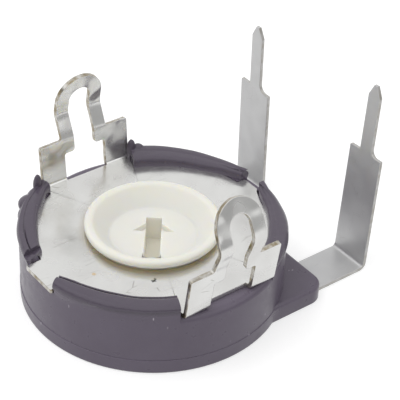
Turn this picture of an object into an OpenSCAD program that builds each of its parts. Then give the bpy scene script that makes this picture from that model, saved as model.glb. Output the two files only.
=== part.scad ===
// Single-turn carbon trimmer, open frame, with two snap-in loops on its collector plate.
// The origin is on the rotor axis, in the flat underside of the housing. +Z is up, along the
// terminals. +X points to the nose that carries the two end terminals.

/* [Housing] */
// Diameter of the housing over its bottom flange
housing_d = 16; // [15:0.1:18]
// Height of the bottom flange
flange_h = 0.95; // [0.6:0.05:1.5]
// How far the wall stands in from the flange
wall_step = 0.03; // [0.01:0.01:0.3]
// Thickness of the floor
floor_t = 1; // [0.8:0.05:1.3]
// Height of the ledge that carries the collector plate
seat_z = 3.94; // [3.6:0.02:5]
// Thickness of the wall round the edge of the collector plate
pocket_wall = 0.78; // [0.6:0.01:0.85]
// Width of the ledge under the edge of the collector plate
ledge_w = 0.45; // [0.3:0.05:0.6]
// Chamfer round the bottom edge
bottom_chamfer = 0.12; // [0.05:0.01:0.25]

/* [Staked rim] */
// How far the staked lip reaches in over the edge of the collector plate
lip_over = 0.54; // [0.4:0.02:0.7]
// Height of the staked lip above the collector plate
lip_h = 0.34; // [0.25:0.01:0.5]
// How far the outer roll stands above the lip
roll_rise = 0.11; // [0.05:0.01:0.15]
// How far the outer roll stands out from the wall
roll_proud = 0.07; // [0.02:0.01:0.12]
// Width of the outer roll
roll_w = 0.98; // [0.9:0.01:1.1]
// Radius of the crease between lip and roll
crease_r = 0.08; // [0.03:0.01:0.1]
// Clearance between the rim and the side of each leg
leg_side_gap = 0.1; // [0.06:0.01:0.2]
// Distance from the rotor axis at which the flared gap for the tab starts
tab_gap_start = 5.05; // [4:0.05:6]

/* [Nose] */
// How far the face of the nose stands in from the front of the flange
nose_set_back = 0.08; // [0.02:0.01:0.5]
// Width of the nose
nose_w = 14.1; // [13.6:0.1:15]
// Height of the nose
nose_h = 1.11; // [1:0.01:1.6]
// Radius of the upright corners of the nose
nose_corner_r = 1.1; // [0.6:0.05:1.5]
// Radius along the top edge of the nose
nose_edge_r = 0.22; // [0.1:0.01:0.35]

/* [Collector plate] */
// Thickness of the collector sheet
sheet_t = 0.3; // [0.2:0.01:0.4]
// Clearance between the collector plate and the housing round it
plate_gap = 0.05; // [0.03:0.01:0.1]
// Radial gap between the rotor's neck and the hole in the collector plate
rotor_window = 0.12; // [0.08:0.01:0.3]
// Width of the locating tab
tab_w = 2.65; // [2:0.05:3]
// How far the locating tab stands out from the wall
tab_proud = 0.06; // [0.02:0.01:0.4]
// Width of the locating key opposite the tab
key_w = 1.5; // [1:0.05:1.8]
// Sideways place of the locating key
key_y = 0.35; // [0:0.05:0.5]
// How far the locating key stands short of the wall's outer face
key_short = 0.3; // [0.15:0.05:0.5]
// How much the gap in the rim for the key widens towards the rotor
key_flare = 3; // [2:0.1:3.5]

/* [Snap-in loops] */
// Gap between the two legs of a loop
leg_gap = 2.92; // [2.4:0.02:3.2]
// Width of each leg
leg_w = 1.69; // [1.4:0.01:1.8]
// Height of the shoulders above the collector plate
shoulder_h = 2.72; // [2.2:0.02:3.2]
// Height of the step inside the legs above the collector plate
hook_h = 1.77; // [1.4:0.01:2]
// Width of the eye of a loop
eye_w = 1.46; // [1.1:0.02:1.7]
// Width of the strip round the eye
strip_w = 0.87; // [0.7:0.01:1.1]
// Height of a whole loop above the collector plate
loop_h = 6.67; // [6:0.01:7.5]
// Height of the knee above the collector plate
knee_h = 4.27; // [3.8:0.01:4.8]
// Radius of the small corners in a loop's front view
loop_corner_r = 0.15; // [0.05:0.01:0.18]
// Radius where the eye opens out over the legs
eye_corner_r = 0.22; // [0.1:0.01:0.25]
// Bend radius of the collector sheet, at its middle
bend_r = 0.3; // [0.25:0.01:0.5]
// How far the foot of loop a stands out from the edge of the plate
foot_out_a = 0; // [0:0.01:0.15]
// How far the shoulders of loop a stand out from the edge of the plate
shoulder_out_a = 0.24; // [0:0.01:0.6]
// How far the knee of loop a stands out from the edge of the plate
knee_out_a = 0.89; // [0.6:0.01:1.2]
// How far the top of loop a stands out from the edge of the plate
top_out_a = 0.32; // [0:0.01:0.6]
// How far the foot of loop b stands out from the edge of the plate
foot_out_b = 0.1; // [0:0.01:0.15]
// How far the shoulders of loop b stand out from the edge of the plate
shoulder_out_b = 0.51; // [0:0.01:0.6]
// How far the knee of loop b stands out from the edge of the plate
knee_out_b = 1.07; // [0.6:0.01:1.2]
// How far the top of loop b stands out from the edge of the plate
top_out_b = 0.06; // [0:0.01:0.6]

/* [Rotor] */
// Diameter of the rotor's face
rotor_d = 8.2; // [7.6:0.1:8.6]
// Height of the rotor's face above the collector plate
face_rise = 0.67; // [0.6:0.01:1]
// Thickness of the rotor's head, which overhangs the collector plate
head_t = 0.46; // [0.35:0.01:0.5]
// How far the rotor's neck stands in from the edge of its head
neck_in = 0.35; // [0.3:0.01:0.45]
// Width of the rim round the dish
rim_w = 0.45; // [0.4:0.05:0.7]
// Depth of the dish
dish_depth = 1.02; // [0.6:0.02:1.2]
// Width of the sloping wall of the dish
dish_slope_w = 1; // [0.8:0.05:1.1]
// Radius of the rotor's edges
rotor_edge_r = 0.14; // [0.05:0.01:0.16]
// Radius between the rim and the dish
dish_edge_r = 0.4; // [0.2:0.05:0.5]
// Diameter of the hub that turns in the floor
hub_d = 5.2; // [5:0.05:5.6]
// Radial running clearance of the hub in the floor
hub_play = 0.05; // [0.02:0.01:0.09]
// Height of the hub's end above the underside of the housing
hub_recess = 0.1; // [0.05:0.05:0.4]
// How far the rotor's flange reaches past its face
flange_over = 0.5; // [0.3:0.05:0.55]
// Thickness of the rotor's flange
rotor_flange_t = 0.5; // [0.4:0.05:0.6]
// Clearance between the flange and the collector plate
end_play = 0.12; // [0.08:0.01:0.2]

/* [Arrow slot] */
// Direction of the arrow at rest
arrow_angle = 52; // [50:1:310]
// Width of the arrow's shaft
shaft_w = 0.94; // [0.7:0.02:1.1]
// Length of the shaft ahead of the rotor axis
shaft_ahead = 1.6; // [1.4:0.02:2]
// Length of the shaft behind the rotor axis
shaft_behind = 2.24; // [1.8:0.02:2.3]
// Depth of the shaft
shaft_depth = 1.6; // [1:0.05:2]
// Width of the arrow's barbs
barb_w = 2.46; // [1.8:0.02:2.6]
// Distance of the barbs' back edge ahead of the rotor axis
barb_start = 0.26; // [0.1:0.02:0.4]
// Length of the barbs
barb_len = 0.75; // [0.5:0.05:1]
// Depth of the barbs
barb_depth = 0.4; // [0.2:0.05:0.8]

/* [Travel] */
// Mechanical travel of the rotor
travel = 265; // [240:1:270]
// Half the angle that the stop lug on the rotor takes up
lug_half = 8; // [6:1:10]
// Angle left between lug and stop at the ends of the travel
stop_play = 1; // [0.5:0.5:2]
// How far the lug reaches past the rotor's flange
lug_reach = 1.6; // [1.2:0.05:1.7]
// How far the fixed stop reaches in from the inner wall
stop_depth = 1.15; // [1:0.05:1.3]

/* [Element] */
// Thickness of the element's board
board_t = 0.8; // [0.6:0.05:1]
// Thickness of the printed track and its end pads
track_t = 0.05; // [0.04:0.01:0.1]
// Clearance round the board
board_gap = 0.05; // [0.03:0.01:0.1]
// Clearance between the hub and the board
board_bore_gap = 0.3; // [0.2:0.05:0.4]
// Radius of the middle of the track
track_mid_r = 4.4; // [4.2:0.05:4.5]
// Width of the track
track_w = 1.4; // [1:0.1:1.5]
// Angle at which the track meets its end pads
pad_end_angle = 62; // [60:1:70]
// Angle left between the end pads and the stop
pad_stop_angle = 4; // [2:1:8]
// How far the end pads stay in from the edge of the board
pad_margin = 0.1; // [0.05:0.01:0.15]

/* [Wiper] */
// Thickness of the wiper spring
wiper_t = 0.2; // [0.15:0.01:0.25]
// Width of each wiper arm
wiper_arm_w = 1.6; // [1:0.1:1.8]
// Width of the ring that joins the wiper arms
wiper_ring_w = 0.95; // [0.7:0.05:1.1]
// Gap left under the brush and over the collector arms
contact_gap = 0.03; // [0.02:0.01:0.05]
// Length of the brush arm that lies flat past the ring
brush_run = 0.1; // [0.05:0.05:0.2]
// Length of the upturned tip of the brush
brush_tip = 0.45; // [0.3:0.05:0.5]
// Rise of the upturned tip of the brush
brush_tip_rise = 0.15; // [0.1:0.01:0.2]
// Length of each collector arm that lies flat past the rotor's flange
arm_run = 0.2; // [0.1:0.05:0.25]
// Length of the flat tip of each collector arm
arm_tip = 0.2; // [0.1:0.05:0.25]
// Clearance between the ends of the wiper and the rotor stop
wiper_stop_gap = 0.1; // [0.05:0.01:0.2]
// Angle from the brush to each collector arm
collector_arm_angle = 110; // [90:5:130]

/* [End terminals] */
// Distance between the two end terminals
terminal_pitch = 10; // [9.6:0.1:10.4]
// Distance from the face of the nose to the inner face of the uprights
terminal_overhang = 3.64; // [2.5:0.02:5]
// Thickness of the terminal strip
strip_t = 0.22; // [0.15:0.01:0.3]
// Width of the terminal strip
terminal_w = 2.69; // [2.4:0.01:2.8]
// Height of the strip's upper face where it is riveted
strip_top = 0.42; // [0.4:0.01:0.5]
// How far the strip steps down on its way out of the housing
strip_drop = 0.18; // [0.1:0.01:0.18]
// Distance from the rivet to the end of the step in the strip
strip_step_at = 2.2; // [1.8:0.05:3]
// Length of the step in the strip
strip_step_run = 0.6; // [0.4:0.05:0.8]
// Length of the strip behind the rivet
strip_tail = 1.15; // [1:0.05:1.3]
// Height of the shoulders of an end terminal
terminal_shoulder_z = 7.62; // [6:0.02:9]
// Height of the tip of an end terminal
terminal_tip_z = 12.06; // [11:0.02:14]
// Width of the pin
pin_w = 0.98; // [0.7:0.02:1.2]
// Length of the slanted point of the pin
point_len = 0.7; // [0.4:0.05:1]
// Width of the flat end of the point
point_flat = 0.25; // [0.15:0.05:0.4]
// Bend radius of the terminal strip, at its middle
terminal_bend_r = 0.4; // [0.3:0.02:0.6]
// Radius between the pin and one shoulder
pin_fillet = 0.45; // [0.2:0.05:0.6]
// Radius of the shoulders' corners
terminal_corner_r = 0.08; // [0.04:0.01:0.12]
// Clearance each side of the strip in its channel
channel_gap = 0.05; // [0.03:0.01:0.1]
// Outward lean of terminal a, in degrees
lean_a = -1.4; // [-8:0.2:8]
// Outward lean of terminal b, in degrees
lean_b = 6; // [-8:0.2:8]
// Sideways tilt of terminal a towards terminal b, in degrees
splay_a = 0.8; // [-5:0.2:5]
// Sideways tilt of terminal b towards terminal a, in degrees
splay_b = 3; // [-5:0.2:5]

/* [Rivets] */
// Diameter of the rivets
rivet_d = 1.1; // [0.8:0.05:1.2]
// Radial clearance of the rivets in their holes
rivet_play = 0.05; // [0.02:0.01:0.1]
// Diameter of the upper rivet heads
rivet_head_d = 1.4; // [1.3:0.05:1.5]
// Height of the upper rivet heads
rivet_head_t = 0.22; // [0.12:0.01:0.3]
// How far the lower rivet heads reach past the shank
lower_head_over = 0.35; // [0.2:0.05:0.4]
// Height of the lower rivet heads
lower_head_t = 0.14; // [0.1:0.01:0.16]
// Distance of each rivet in from the edge of the board
rivet_edge = 0.86; // [0.8:0.01:0.9]
// Angle from the middle of the nose to each rivet, about the rotor axis
rivet_angle = 53.7; // [53:0.1:54.5]

/* [Hidden] */
$fn = 96;
// Overlap that keeps cuts and joined solids clear of shared faces
eps = 0.05;
// Number of short chords in each rounded corner of an outline
corner_steps = 6;

// Radii of the housing, from the outside in
flange_r = housing_d / 2;
wall_r = flange_r - wall_step;
pocket_r = wall_r - pocket_wall;
cavity_r = pocket_r - ledge_w;
lip_r = pocket_r - lip_over;
hub_r = hub_d / 2;
hub_bore_r = hub_r + hub_play;
nose_reach = flange_r - nose_set_back;

// Heights and places round the rim
plate_top = seat_z + sheet_t;
lip_top = plate_top + lip_h;
roll_top = lip_top + roll_rise;
roll_out_r = wall_r + roll_proud;
roll_r = pocket_wall / 2;
roll_z = roll_top - roll_r;
roll_in_r = (roll_top - plate_top) / 2;

// Burrs that staking left beside the loops and on the outer roll: [angle, distance of the middle
// in from the roll's outer face, depth below the ledge, height above the roll, radius]
BURRS = [
    [116.7, 0.1, 0.2, 0.62, 0.26],
    [127, 0.1, 0.1, -0.07, 0.42],
    [131.5, 0.1, 0.1, -0.14, 0.4],
    [64, 0.29, 0.2, 0.5, 0.3],
    [61, 0.29, 0.1, 0.2, 0.28]
];

// Collector plate and loops
plate_r = pocket_r - plate_gap;
plate_mid_z = seat_z + sheet_t / 2;
leg_y = plate_r + sheet_t / 2;
// Length of each folded strip inside the plate
fold_lap = 1;
leg_outer_x = leg_gap / 2 + leg_w;
shoulder_z = plate_top + shoulder_h;
hook_z = plate_top + hook_h;
eye_r = eye_w / 2;
loop_r = eye_r + strip_w;
loop_top_z = plate_top + loop_h;
arch_z = loop_top_z - loop_r;

// Rotor levels and radii
face_r = rotor_d / 2;
neck_r = face_r - neck_in;
hole_r = neck_r + rotor_window;
face_z = plate_top + face_rise;
dish_z = face_z - dish_depth;
dish_r = face_r - rim_w;
dish_floor_r = dish_r - dish_slope_w;
rotor_flange_r = face_r + flange_over;
rotor_flange_top = seat_z - end_play;
rotor_flange_bottom = rotor_flange_top - rotor_flange_t;
lug_r = rotor_flange_r + lug_reach;

// Stop and travel, as half angles about +X
end_half = (360 - travel) / 2;
stop_half = end_half - lug_half - stop_play;
stop_r = cavity_r - stop_depth;

// Element
board_top = floor_t + board_t;
track_top = board_top + track_t;
board_r = cavity_r - board_gap;
board_bore_r = hub_r + board_bore_gap;
track_in_r = track_mid_r - track_w / 2;
track_out_r = track_mid_r + track_w / 2;
pad_out_r = board_r - pad_margin;
pad_start_angle = stop_half + pad_stop_angle;

// Wiper levels
wiper_mid_z = rotor_flange_bottom - wiper_t / 2;
wiper_ring_in = hub_r + hub_play;
wiper_ring_out = wiper_ring_in + wiper_ring_w;
brush_mid_z = track_top + contact_gap + wiper_t / 2;
collector_mid_z = seat_z - contact_gap - wiper_t / 2;

// Rivets and end terminals
rivet_r = rivet_d / 2;
rivet_hole_r = rivet_r + rivet_play;
rivet_x = (board_r - rivet_edge) * cos(rivet_angle);
rivet_y = (board_r - rivet_edge) * sin(rivet_angle);
strip_bottom = strip_top - strip_t;
strip_mid_z = strip_top - strip_t / 2;
outer_strip_top = strip_top - strip_drop;
outer_strip_mid_z = strip_mid_z - strip_drop;
terminal_y = terminal_pitch / 2;
upright_x = nose_reach + terminal_overhang + strip_t / 2;
strip_start_x = rivet_x - strip_tail;
strip_step_x = rivet_x + strip_step_at;

// A vector of length one
function unit(v) = v / norm(v);

// A point at an angle and a radius
function polar(angle, r) = [r * cos(angle), r * sin(angle)];

// Signed angle in degrees from vector u to vector v
function turn(u, v) = atan2(u[0] * v[1] - u[1] * v[0], u * v);

// Points of the arc of radius r that rounds the corner b between a and c
function corner_arc(a, b, c, r) =
    let (
        u = unit(a - b),
        w = unit(c - b),
        half = acos(u * w) / 2,
        centre = b + unit(u + w) * r / sin(half),
        first = b + u * r / tan(half) - centre,
        last = b + w * r / tan(half) - centre,
        start = atan2(first[1], first[0]),
        sweep = turn(first, last)
    )
    [for (i = [0:corner_steps]) centre + polar(start + sweep * i / corner_steps, r)];

// Closed outline from corners [x, y, radius]
function rounded_outline(corners) =
    let (n = len(corners))
    [
        for (i = [0:n - 1])
            let (
                a = corners[(i + n - 1) % n],
                b = corners[i],
                c = corners[(i + 1) % n]
            )
            each (b[2] == 0
                ? [[b[0], b[1]]]
                : corner_arc([a[0], a[1]], [b[0], b[1]], [c[0], c[1]], b[2]))
    ];

// Open line through points, with its inner corners rounded
function rounded_line(points, r) =
    let (n = len(points))
    [
        for (i = [0:n - 1])
            each (i == 0 || i == n - 1
                ? [points[i]]
                : corner_arc(points[i - 1], points[i], points[i + 1], r))
    ];

// The line moved sideways by d, with mitred corners
function shifted_line(line, d) =
    let (n = len(line))
    [
        for (i = [0:n - 1])
            let (
                before = unit(i == 0 ? line[1] - line[0] : line[i] - line[i - 1]),
                after = unit(i == n - 1 ? line[i] - line[i - 1] : line[i + 1] - line[i]),
                middle = unit(before + after),
                side = [-middle[1], middle[0]]
            )
            line[i] + side * d / (middle * before)
    ];

// Section of a strip of thickness t folded along points, with bends of radius r
module folded_section(points, t, r) {
    line = rounded_line(points, r);
    left = shifted_line(line, t / 2);
    right = shifted_line(line, -t / 2);
    polygon(concat(left, [for (i = [len(right) - 1:-1:0]) right[i]]));
}

// Upright plane YZ: the section's x becomes Y, its y becomes Z
module along_x(length) {
    rotate([90, 0, 90]) linear_extrude(length, center = true) children();
}

// Upright plane XZ: the section's x becomes X, its y becomes Z
module along_y(length) {
    rotate([90, 0, 0]) linear_extrude(length, center = true) children();
}

// Ring sector from angle a to angle b, between two radii and two heights
module ring_sector(a, b, r_in, r_out, z_low, z_high) {
    rotate([0, 0, a])
        rotate_extrude(angle = b - a)
            translate([r_in, z_low]) square([r_out - r_in, z_high - z_low]);
}

// Section of the cup with its staked lip and outer roll
module cup_section() {
    polygon([
        [hub_bore_r, 0],
        [flange_r - bottom_chamfer, 0],
        [flange_r, bottom_chamfer],
        [flange_r, flange_h],
        [wall_r, flange_h],
        [wall_r, roll_z],
        [pocket_r, roll_z],
        [pocket_r, seat_z],
        [cavity_r, seat_z],
        [cavity_r, floor_t],
        [hub_bore_r, floor_t]
    ]);
    roll_start = roll_out_r - roll_w;
    roll_mid = roll_out_r - roll_r;
    difference() {
        union() {
            translate([roll_mid, roll_z]) circle(roll_r);
            translate([roll_start + roll_in_r, plate_top + roll_in_r]) circle(roll_in_r);
            translate([roll_start + roll_in_r, plate_top])
                square([roll_mid - roll_start - roll_in_r, roll_top - plate_top]);
            translate([lip_r + lip_h / 2, plate_top + lip_h / 2]) circle(lip_h / 2);
            translate([lip_r + lip_h / 2, plate_top]) square([roll_mid - lip_r - lip_h / 2, lip_h]);
        }
        translate([roll_start, lip_top]) circle(crease_r);
    }
}

// Flat outline of the nose, with round outer corners
module nose_outline() {
    flat_w = nose_w - 2 * nose_corner_r;
    translate([0, -nose_w / 2]) square([nose_reach - nose_corner_r, nose_w]);
    translate([0, -flat_w / 2]) square([nose_reach, flat_w]);
    for (side = [-1, 1]) {
        translate([nose_reach - nose_corner_r, side * flat_w / 2]) circle(nose_corner_r);
    }
}

// What is cut away to round a top edge of the nose, with the edge at the section's origin
module edge_cutter() {
    difference() {
        translate([-nose_edge_r, -nose_edge_r]) square(nose_edge_r + eps);
        translate([-nose_edge_r, -nose_edge_r]) circle(nose_edge_r);
    }
}

// Slab that carries the end terminals out of the housing
module nose() {
    corner_x = nose_reach - nose_corner_r;
    corner_y = nose_w / 2 - nose_corner_r;
    difference() {
        linear_extrude(nose_h) nose_outline();
        translate([nose_reach, 0, nose_h])
            rotate([90, 0, 0])
                linear_extrude(2 * corner_y, center = true) edge_cutter();
        for (side = [0, 1]) {
            mirror([0, side, 0]) {
                translate([0, nose_w / 2, nose_h])
                    rotate([90, 0, 90]) linear_extrude(corner_x) edge_cutter();
                translate([corner_x, corner_y, nose_h])
                    rotate_extrude(angle = 90)
                        translate([nose_corner_r, 0]) edge_cutter();
            }
        }
    }
}

// Upright post with round ends, from z_low to z_high
module burr(z_low, z_high, r) {
    rotate_extrude() intersection() {
        translate([0, z_low]) square([r, z_high - z_low]);
        union() {
            translate([0, z_low + r]) circle(r);
            translate([0, z_high - r]) circle(r);
            translate([0, z_low + r]) square([r, z_high - z_low - 2 * r]);
        }
    }
}

// Burrs on the rim
module rim_burrs() {
    for (b = BURRS) {
        rotate([0, 0, b[0]])
            translate([roll_out_r - b[1], 0, 0])
                burr(seat_z - b[2], roll_top + b[3], b[4]);
    }
}

// Gaps in the rim: the plate's legs, tab and key lie in straight ones, down to the ledge,
// and above the plate the staked ridges end at flared ones
module rim_gaps() {
    gap_h = 2 * (roll_top - seat_z);
    gap_x = leg_outer_x + leg_side_gap;
    tab_half = tab_w / 2 + plate_gap;
    tab_flare = tab_half / (wall_r - tab_gap_start);
    key_low = key_y - key_w / 2 - plate_gap;
    key_high = key_y + key_w / 2 + plate_gap;
    for (side = [0, 1]) {
        mirror([0, side, 0]) {
            translate([-gap_x, 0, seat_z]) cube([2 * gap_x, housing_d, sheet_t]);
            translate([0, 0, seat_z]) linear_extrude(gap_h) polygon([
                [0, 0],
                [2 * gap_x, 2 * plate_r],
                [-2 * gap_x, 2 * plate_r]
            ]);
        }
    }
    translate([-housing_d, -tab_half, seat_z]) cube([housing_d, 2 * tab_half, sheet_t]);
    translate([0, 0, seat_z]) linear_extrude(gap_h) polygon([
        [-tab_gap_start, 0],
        [-housing_d, tab_flare * (housing_d - tab_gap_start)],
        [-housing_d, -tab_flare * (housing_d - tab_gap_start)]
    ]);
    translate([0, 0, seat_z]) linear_extrude(gap_h) polygon([
        [face_r, key_high],
        [housing_d, key_high],
        [housing_d, key_low],
        [wall_r - key_short, key_low],
        [face_r, key_low - key_flare]
    ]);
}

// Channel in the underside for one end terminal, with its rivet hole
module terminal_channel() {
    channel_w = terminal_w + 2 * channel_gap;
    channel_start = strip_start_x - channel_gap;
    translate([channel_start, terminal_y - channel_w / 2, -eps])
        cube([strip_step_x - channel_start, channel_w, strip_top + eps]);
    translate([channel_start, terminal_y - channel_w / 2, -eps])
        cube([housing_d, channel_w, outer_strip_top + eps]);
    translate([rivet_x, rivet_y, 0]) cylinder(h = floor_t + eps, r = rivet_hole_r);
}

// Moulded housing with floor, wall, staked rim, nose and rotor stop
module housing() {
    color("#5b5564") difference() {
        union() {
            rotate_extrude() cup_section();
            rim_burrs();
            difference() {
                nose();
                translate([0, 0, -eps]) cylinder(h = nose_h + 2 * eps, r = cavity_r + ledge_w / 2);
            }
            ring_sector(-stop_half, stop_half, stop_r, cavity_r + eps, floor_t - eps, seat_z);
        }
        rim_gaps();
        for (side = [0, 1]) {
            mirror([0, side, 0]) terminal_channel();
        }
    }
}

// Front view of one snap-in loop, from the plate's underside to the top of its arch
module loop_outline() {
    difference() {
        union() {
            polygon(rounded_outline([
                [leg_outer_x, seat_z, 0],
                [leg_outer_x, shoulder_z, loop_corner_r],
                [loop_r, shoulder_z, loop_corner_r],
                [loop_r, arch_z, 0],
                [-loop_r, arch_z, 0],
                [-loop_r, shoulder_z, loop_corner_r],
                [-leg_outer_x, shoulder_z, loop_corner_r],
                [-leg_outer_x, seat_z, 0]
            ]));
            translate([0, arch_z]) circle(loop_r);
        }
        polygon(rounded_outline([
            [leg_gap / 2, seat_z - eps, 0],
            [leg_gap / 2, hook_z, loop_corner_r],
            [eye_r, hook_z, eye_corner_r],
            [eye_r, arch_z, 0],
            [-eye_r, arch_z, 0],
            [-eye_r, hook_z, eye_corner_r],
            [-leg_gap / 2, hook_z, loop_corner_r],
            [-leg_gap / 2, seat_z - eps, 0]
        ]));
        translate([0, arch_z]) circle(eye_r);
    }
}

// One snap-in loop: its front view cut from a strip with a knee, so that it springs into a hole
module snap_loop(foot_out, shoulder_out, knee_out, top_out) {
    fold = [
        [leg_y - fold_lap, plate_mid_z],
        [leg_y + foot_out, plate_mid_z],
        [leg_y + shoulder_out, shoulder_z],
        [leg_y + knee_out, plate_top + knee_h],
        [leg_y + top_out, loop_top_z + eps]
    ];
    intersection() {
        along_y(4 * housing_d) loop_outline();
        along_x(3 * leg_outer_x) folded_section(fold, sheet_t, bend_r);
    }
}

// Flat outline of the collector plate
module plate_outline() {
    difference() {
        union() {
            circle(plate_r);
            square([2 * leg_outer_x, 2 * (leg_y - sheet_t)], center = true);
            translate([-wall_r - tab_proud, -tab_w / 2]) square([wall_r, tab_w]);
            translate([0, key_y - key_w / 2]) square([wall_r - key_short, key_w]);
        }
        circle(hole_r);
    }
}

// Tinned collector plate, folded up into the two snap-in loops
module collector_plate() {
    color("#cfcfcc") union() {
        translate([0, 0, seat_z]) linear_extrude(sheet_t) plate_outline();
        snap_loop(foot_out_a, shoulder_out_a, knee_out_a, top_out_a);
        mirror([0, 1, 0]) snap_loop(foot_out_b, shoulder_out_b, knee_out_b, top_out_b);
    }
}

// Half section of the rotor, with hub, flange, neck, overhanging head and dish
module rotor_section() {
    polygon(rounded_outline([
        [0, hub_recess, 0],
        [hub_r, hub_recess, rotor_edge_r],
        [hub_r, rotor_flange_bottom, 0],
        [rotor_flange_r, rotor_flange_bottom, 0],
        [rotor_flange_r, rotor_flange_top, 0],
        [neck_r, rotor_flange_top, 0],
        [neck_r, face_z - head_t, 0],
        [face_r, face_z - head_t, rotor_edge_r],
        [face_r, face_z, rotor_edge_r],
        [dish_r, face_z, dish_edge_r],
        [dish_floor_r, dish_z, rotor_edge_r * 2],
        [0, dish_z, 0]
    ]));
}

// Arrow-shaped driver slot, pointing along +X
module arrow_slot() {
    translate([-shaft_behind, -shaft_w / 2, dish_z - shaft_depth])
        cube([shaft_behind + shaft_ahead, shaft_w, shaft_depth + eps]);
    translate([0, 0, dish_z - barb_depth]) linear_extrude(barb_depth + eps) polygon([
        [barb_start, -barb_w / 2],
        [barb_start + barb_len, -shaft_w / 2],
        [barb_start + barb_len, shaft_w / 2],
        [barb_start, barb_w / 2]
    ]);
}

// Moulded rotor with its stop lug
module rotor() {
    color("#e8e9e4") rotate([0, 0, arrow_angle]) difference() {
        union() {
            rotate_extrude() rotor_section();
            ring_sector(
                -lug_half, lug_half, rotor_flange_r - eps, lug_r,
                rotor_flange_bottom, rotor_flange_top
            );
        }
        arrow_slot();
    }
}

// One arm of the wiper, folded along points [radius, height], pointing along +X
module wiper_arm(points) {
    intersection() {
        along_y(wiper_arm_w) folded_section(points, wiper_t, wiper_t);
        cylinder(h = seat_z, r = stop_r - wiper_stop_gap);
    }
}

// Wiper spring under the rotor's flange, with one brush and two collector arms
module wiper_contact() {
    arm_start = (wiper_ring_in + wiper_ring_out) / 2;
    rise = collector_mid_z - wiper_mid_z;
    bend_at = rotor_flange_r + arm_run;
    color("#c9a868") rotate([0, 0, arrow_angle]) union() {
        difference() {
            translate([0, 0, wiper_mid_z - wiper_t / 2]) cylinder(h = wiper_t, r = wiper_ring_out);
            translate([0, 0, wiper_mid_z - wiper_t]) cylinder(h = 2 * wiper_t, r = wiper_ring_in);
        }
        wiper_arm([
            [arm_start, wiper_mid_z],
            [wiper_ring_out + brush_run, wiper_mid_z],
            [track_mid_r, brush_mid_z],
            [track_mid_r + brush_tip, brush_mid_z + brush_tip_rise]
        ]);
        for (side = [-1, 1]) {
            rotate([0, 0, side * collector_arm_angle]) wiper_arm([
                [arm_start, wiper_mid_z],
                [bend_at, wiper_mid_z],
                [bend_at + rise / 2, collector_mid_z],
                [bend_at + rise / 2 + arm_tip, collector_mid_z]
            ]);
        }
    }
}

// Laminate board that carries the track, cut out round the rotor stop
module element_board() {
    color("#8a5a2c") difference() {
        translate([0, 0, floor_t]) cylinder(h = board_t, r = board_r);
        translate([0, 0, floor_t - eps]) cylinder(h = board_t + 2 * eps, r = board_bore_r);
        ring_sector(
            -stop_half - stop_play, stop_half + stop_play, stop_r - board_gap, housing_d,
            floor_t - eps, board_top + eps
        );
        rivet_holes(floor_t, board_top);
    }
}

// Holes for both rivets between two heights
module rivet_holes(z_low, z_high) {
    for (side = [-1, 1]) {
        translate([rivet_x, side * rivet_y, z_low - eps])
            cylinder(h = z_high - z_low + 2 * eps, r = rivet_hole_r);
    }
}

// Printed carbon track
module carbon_track() {
    color("#26262a")
        ring_sector(pad_end_angle, 360 - pad_end_angle, track_in_r, track_out_r, board_top, track_top);
}

// Printed silver pads that join the ends of the track to the rivets
module track_end_pads() {
    color("#b9bcc0") difference() {
        for (side = [0, 1]) {
            mirror([0, side, 0])
                ring_sector(pad_start_angle, pad_end_angle, track_in_r, pad_out_r, board_top, track_top);
        }
        rivet_holes(board_top, track_top);
    }
}

// Front view of an end terminal: a wide strip with a narrow pin on top
module terminal_outline() {
    pin_half = pin_w / 2;
    polygon(rounded_outline([
        [-terminal_w / 2, -terminal_w, 0],
        [terminal_w / 2, -terminal_w, 0],
        [terminal_w / 2, terminal_shoulder_z, terminal_corner_r],
        [pin_half, terminal_shoulder_z, terminal_corner_r],
        [pin_half, terminal_tip_z - point_len, 0],
        [point_flat / 2, terminal_tip_z, 0],
        [-point_flat / 2, terminal_tip_z, 0],
        [-pin_half, terminal_tip_z - point_len, 0],
        [-pin_half, terminal_shoulder_z - terminal_corner_r, pin_fillet],
        [-terminal_w / 2, terminal_shoulder_z - terminal_corner_r, terminal_corner_r]
    ]));
}

// One end terminal, folded up from the strip in the floor. lean tips its upright away from the
// housing, and splay tips it sideways, towards -Y; side is 1 or -1.
module end_terminal(side, lean, splay) {
    rise = terminal_tip_z + eps - outer_strip_mid_z;
    fold = [
        [strip_start_x, strip_mid_z],
        [strip_step_x - strip_step_run, strip_mid_z],
        [strip_step_x, outer_strip_mid_z],
        [upright_x, outer_strip_mid_z],
        [upright_x + rise * tan(lean), terminal_tip_z + eps]
    ];
    color("#c4c4c1") difference() {
        translate([0, side * terminal_y, 0]) intersection() {
            along_y(2 * terminal_w) folded_section(fold, strip_t, terminal_bend_r);
            rotate([splay, 0, 0]) along_x(4 * housing_d) terminal_outline();
        }
        rivet_holes(strip_bottom, strip_top);
    }
}

module end_terminal_a() {
    end_terminal(1, lean_a, splay_a);
}

module end_terminal_b() {
    end_terminal(-1, lean_b, -splay_b);
}

// One rivet that clamps a terminal, the floor and the element together
module terminal_rivet(side) {
    color("#b8a26a") translate([rivet_x, side * rivet_y, 0]) union() {
        translate([0, 0, strip_bottom - lower_head_t])
            cylinder(h = lower_head_t, r = rivet_r + lower_head_over);
        translate([0, 0, strip_bottom - eps])
            cylinder(h = track_top - strip_bottom + 2 * eps, r = rivet_r);
        translate([0, 0, track_top]) cylinder(h = rivet_head_t, r = rivet_head_d / 2);
    }
}

module terminal_rivet_a() {
    terminal_rivet(1);
}

module terminal_rivet_b() {
    terminal_rivet(-1);
}

housing();
collector_plate();
rotor();
wiper_contact();
element_board();
carbon_track();
track_end_pads();
end_terminal_a();
end_terminal_b();
terminal_rivet_a();
terminal_rivet_b();
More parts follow.
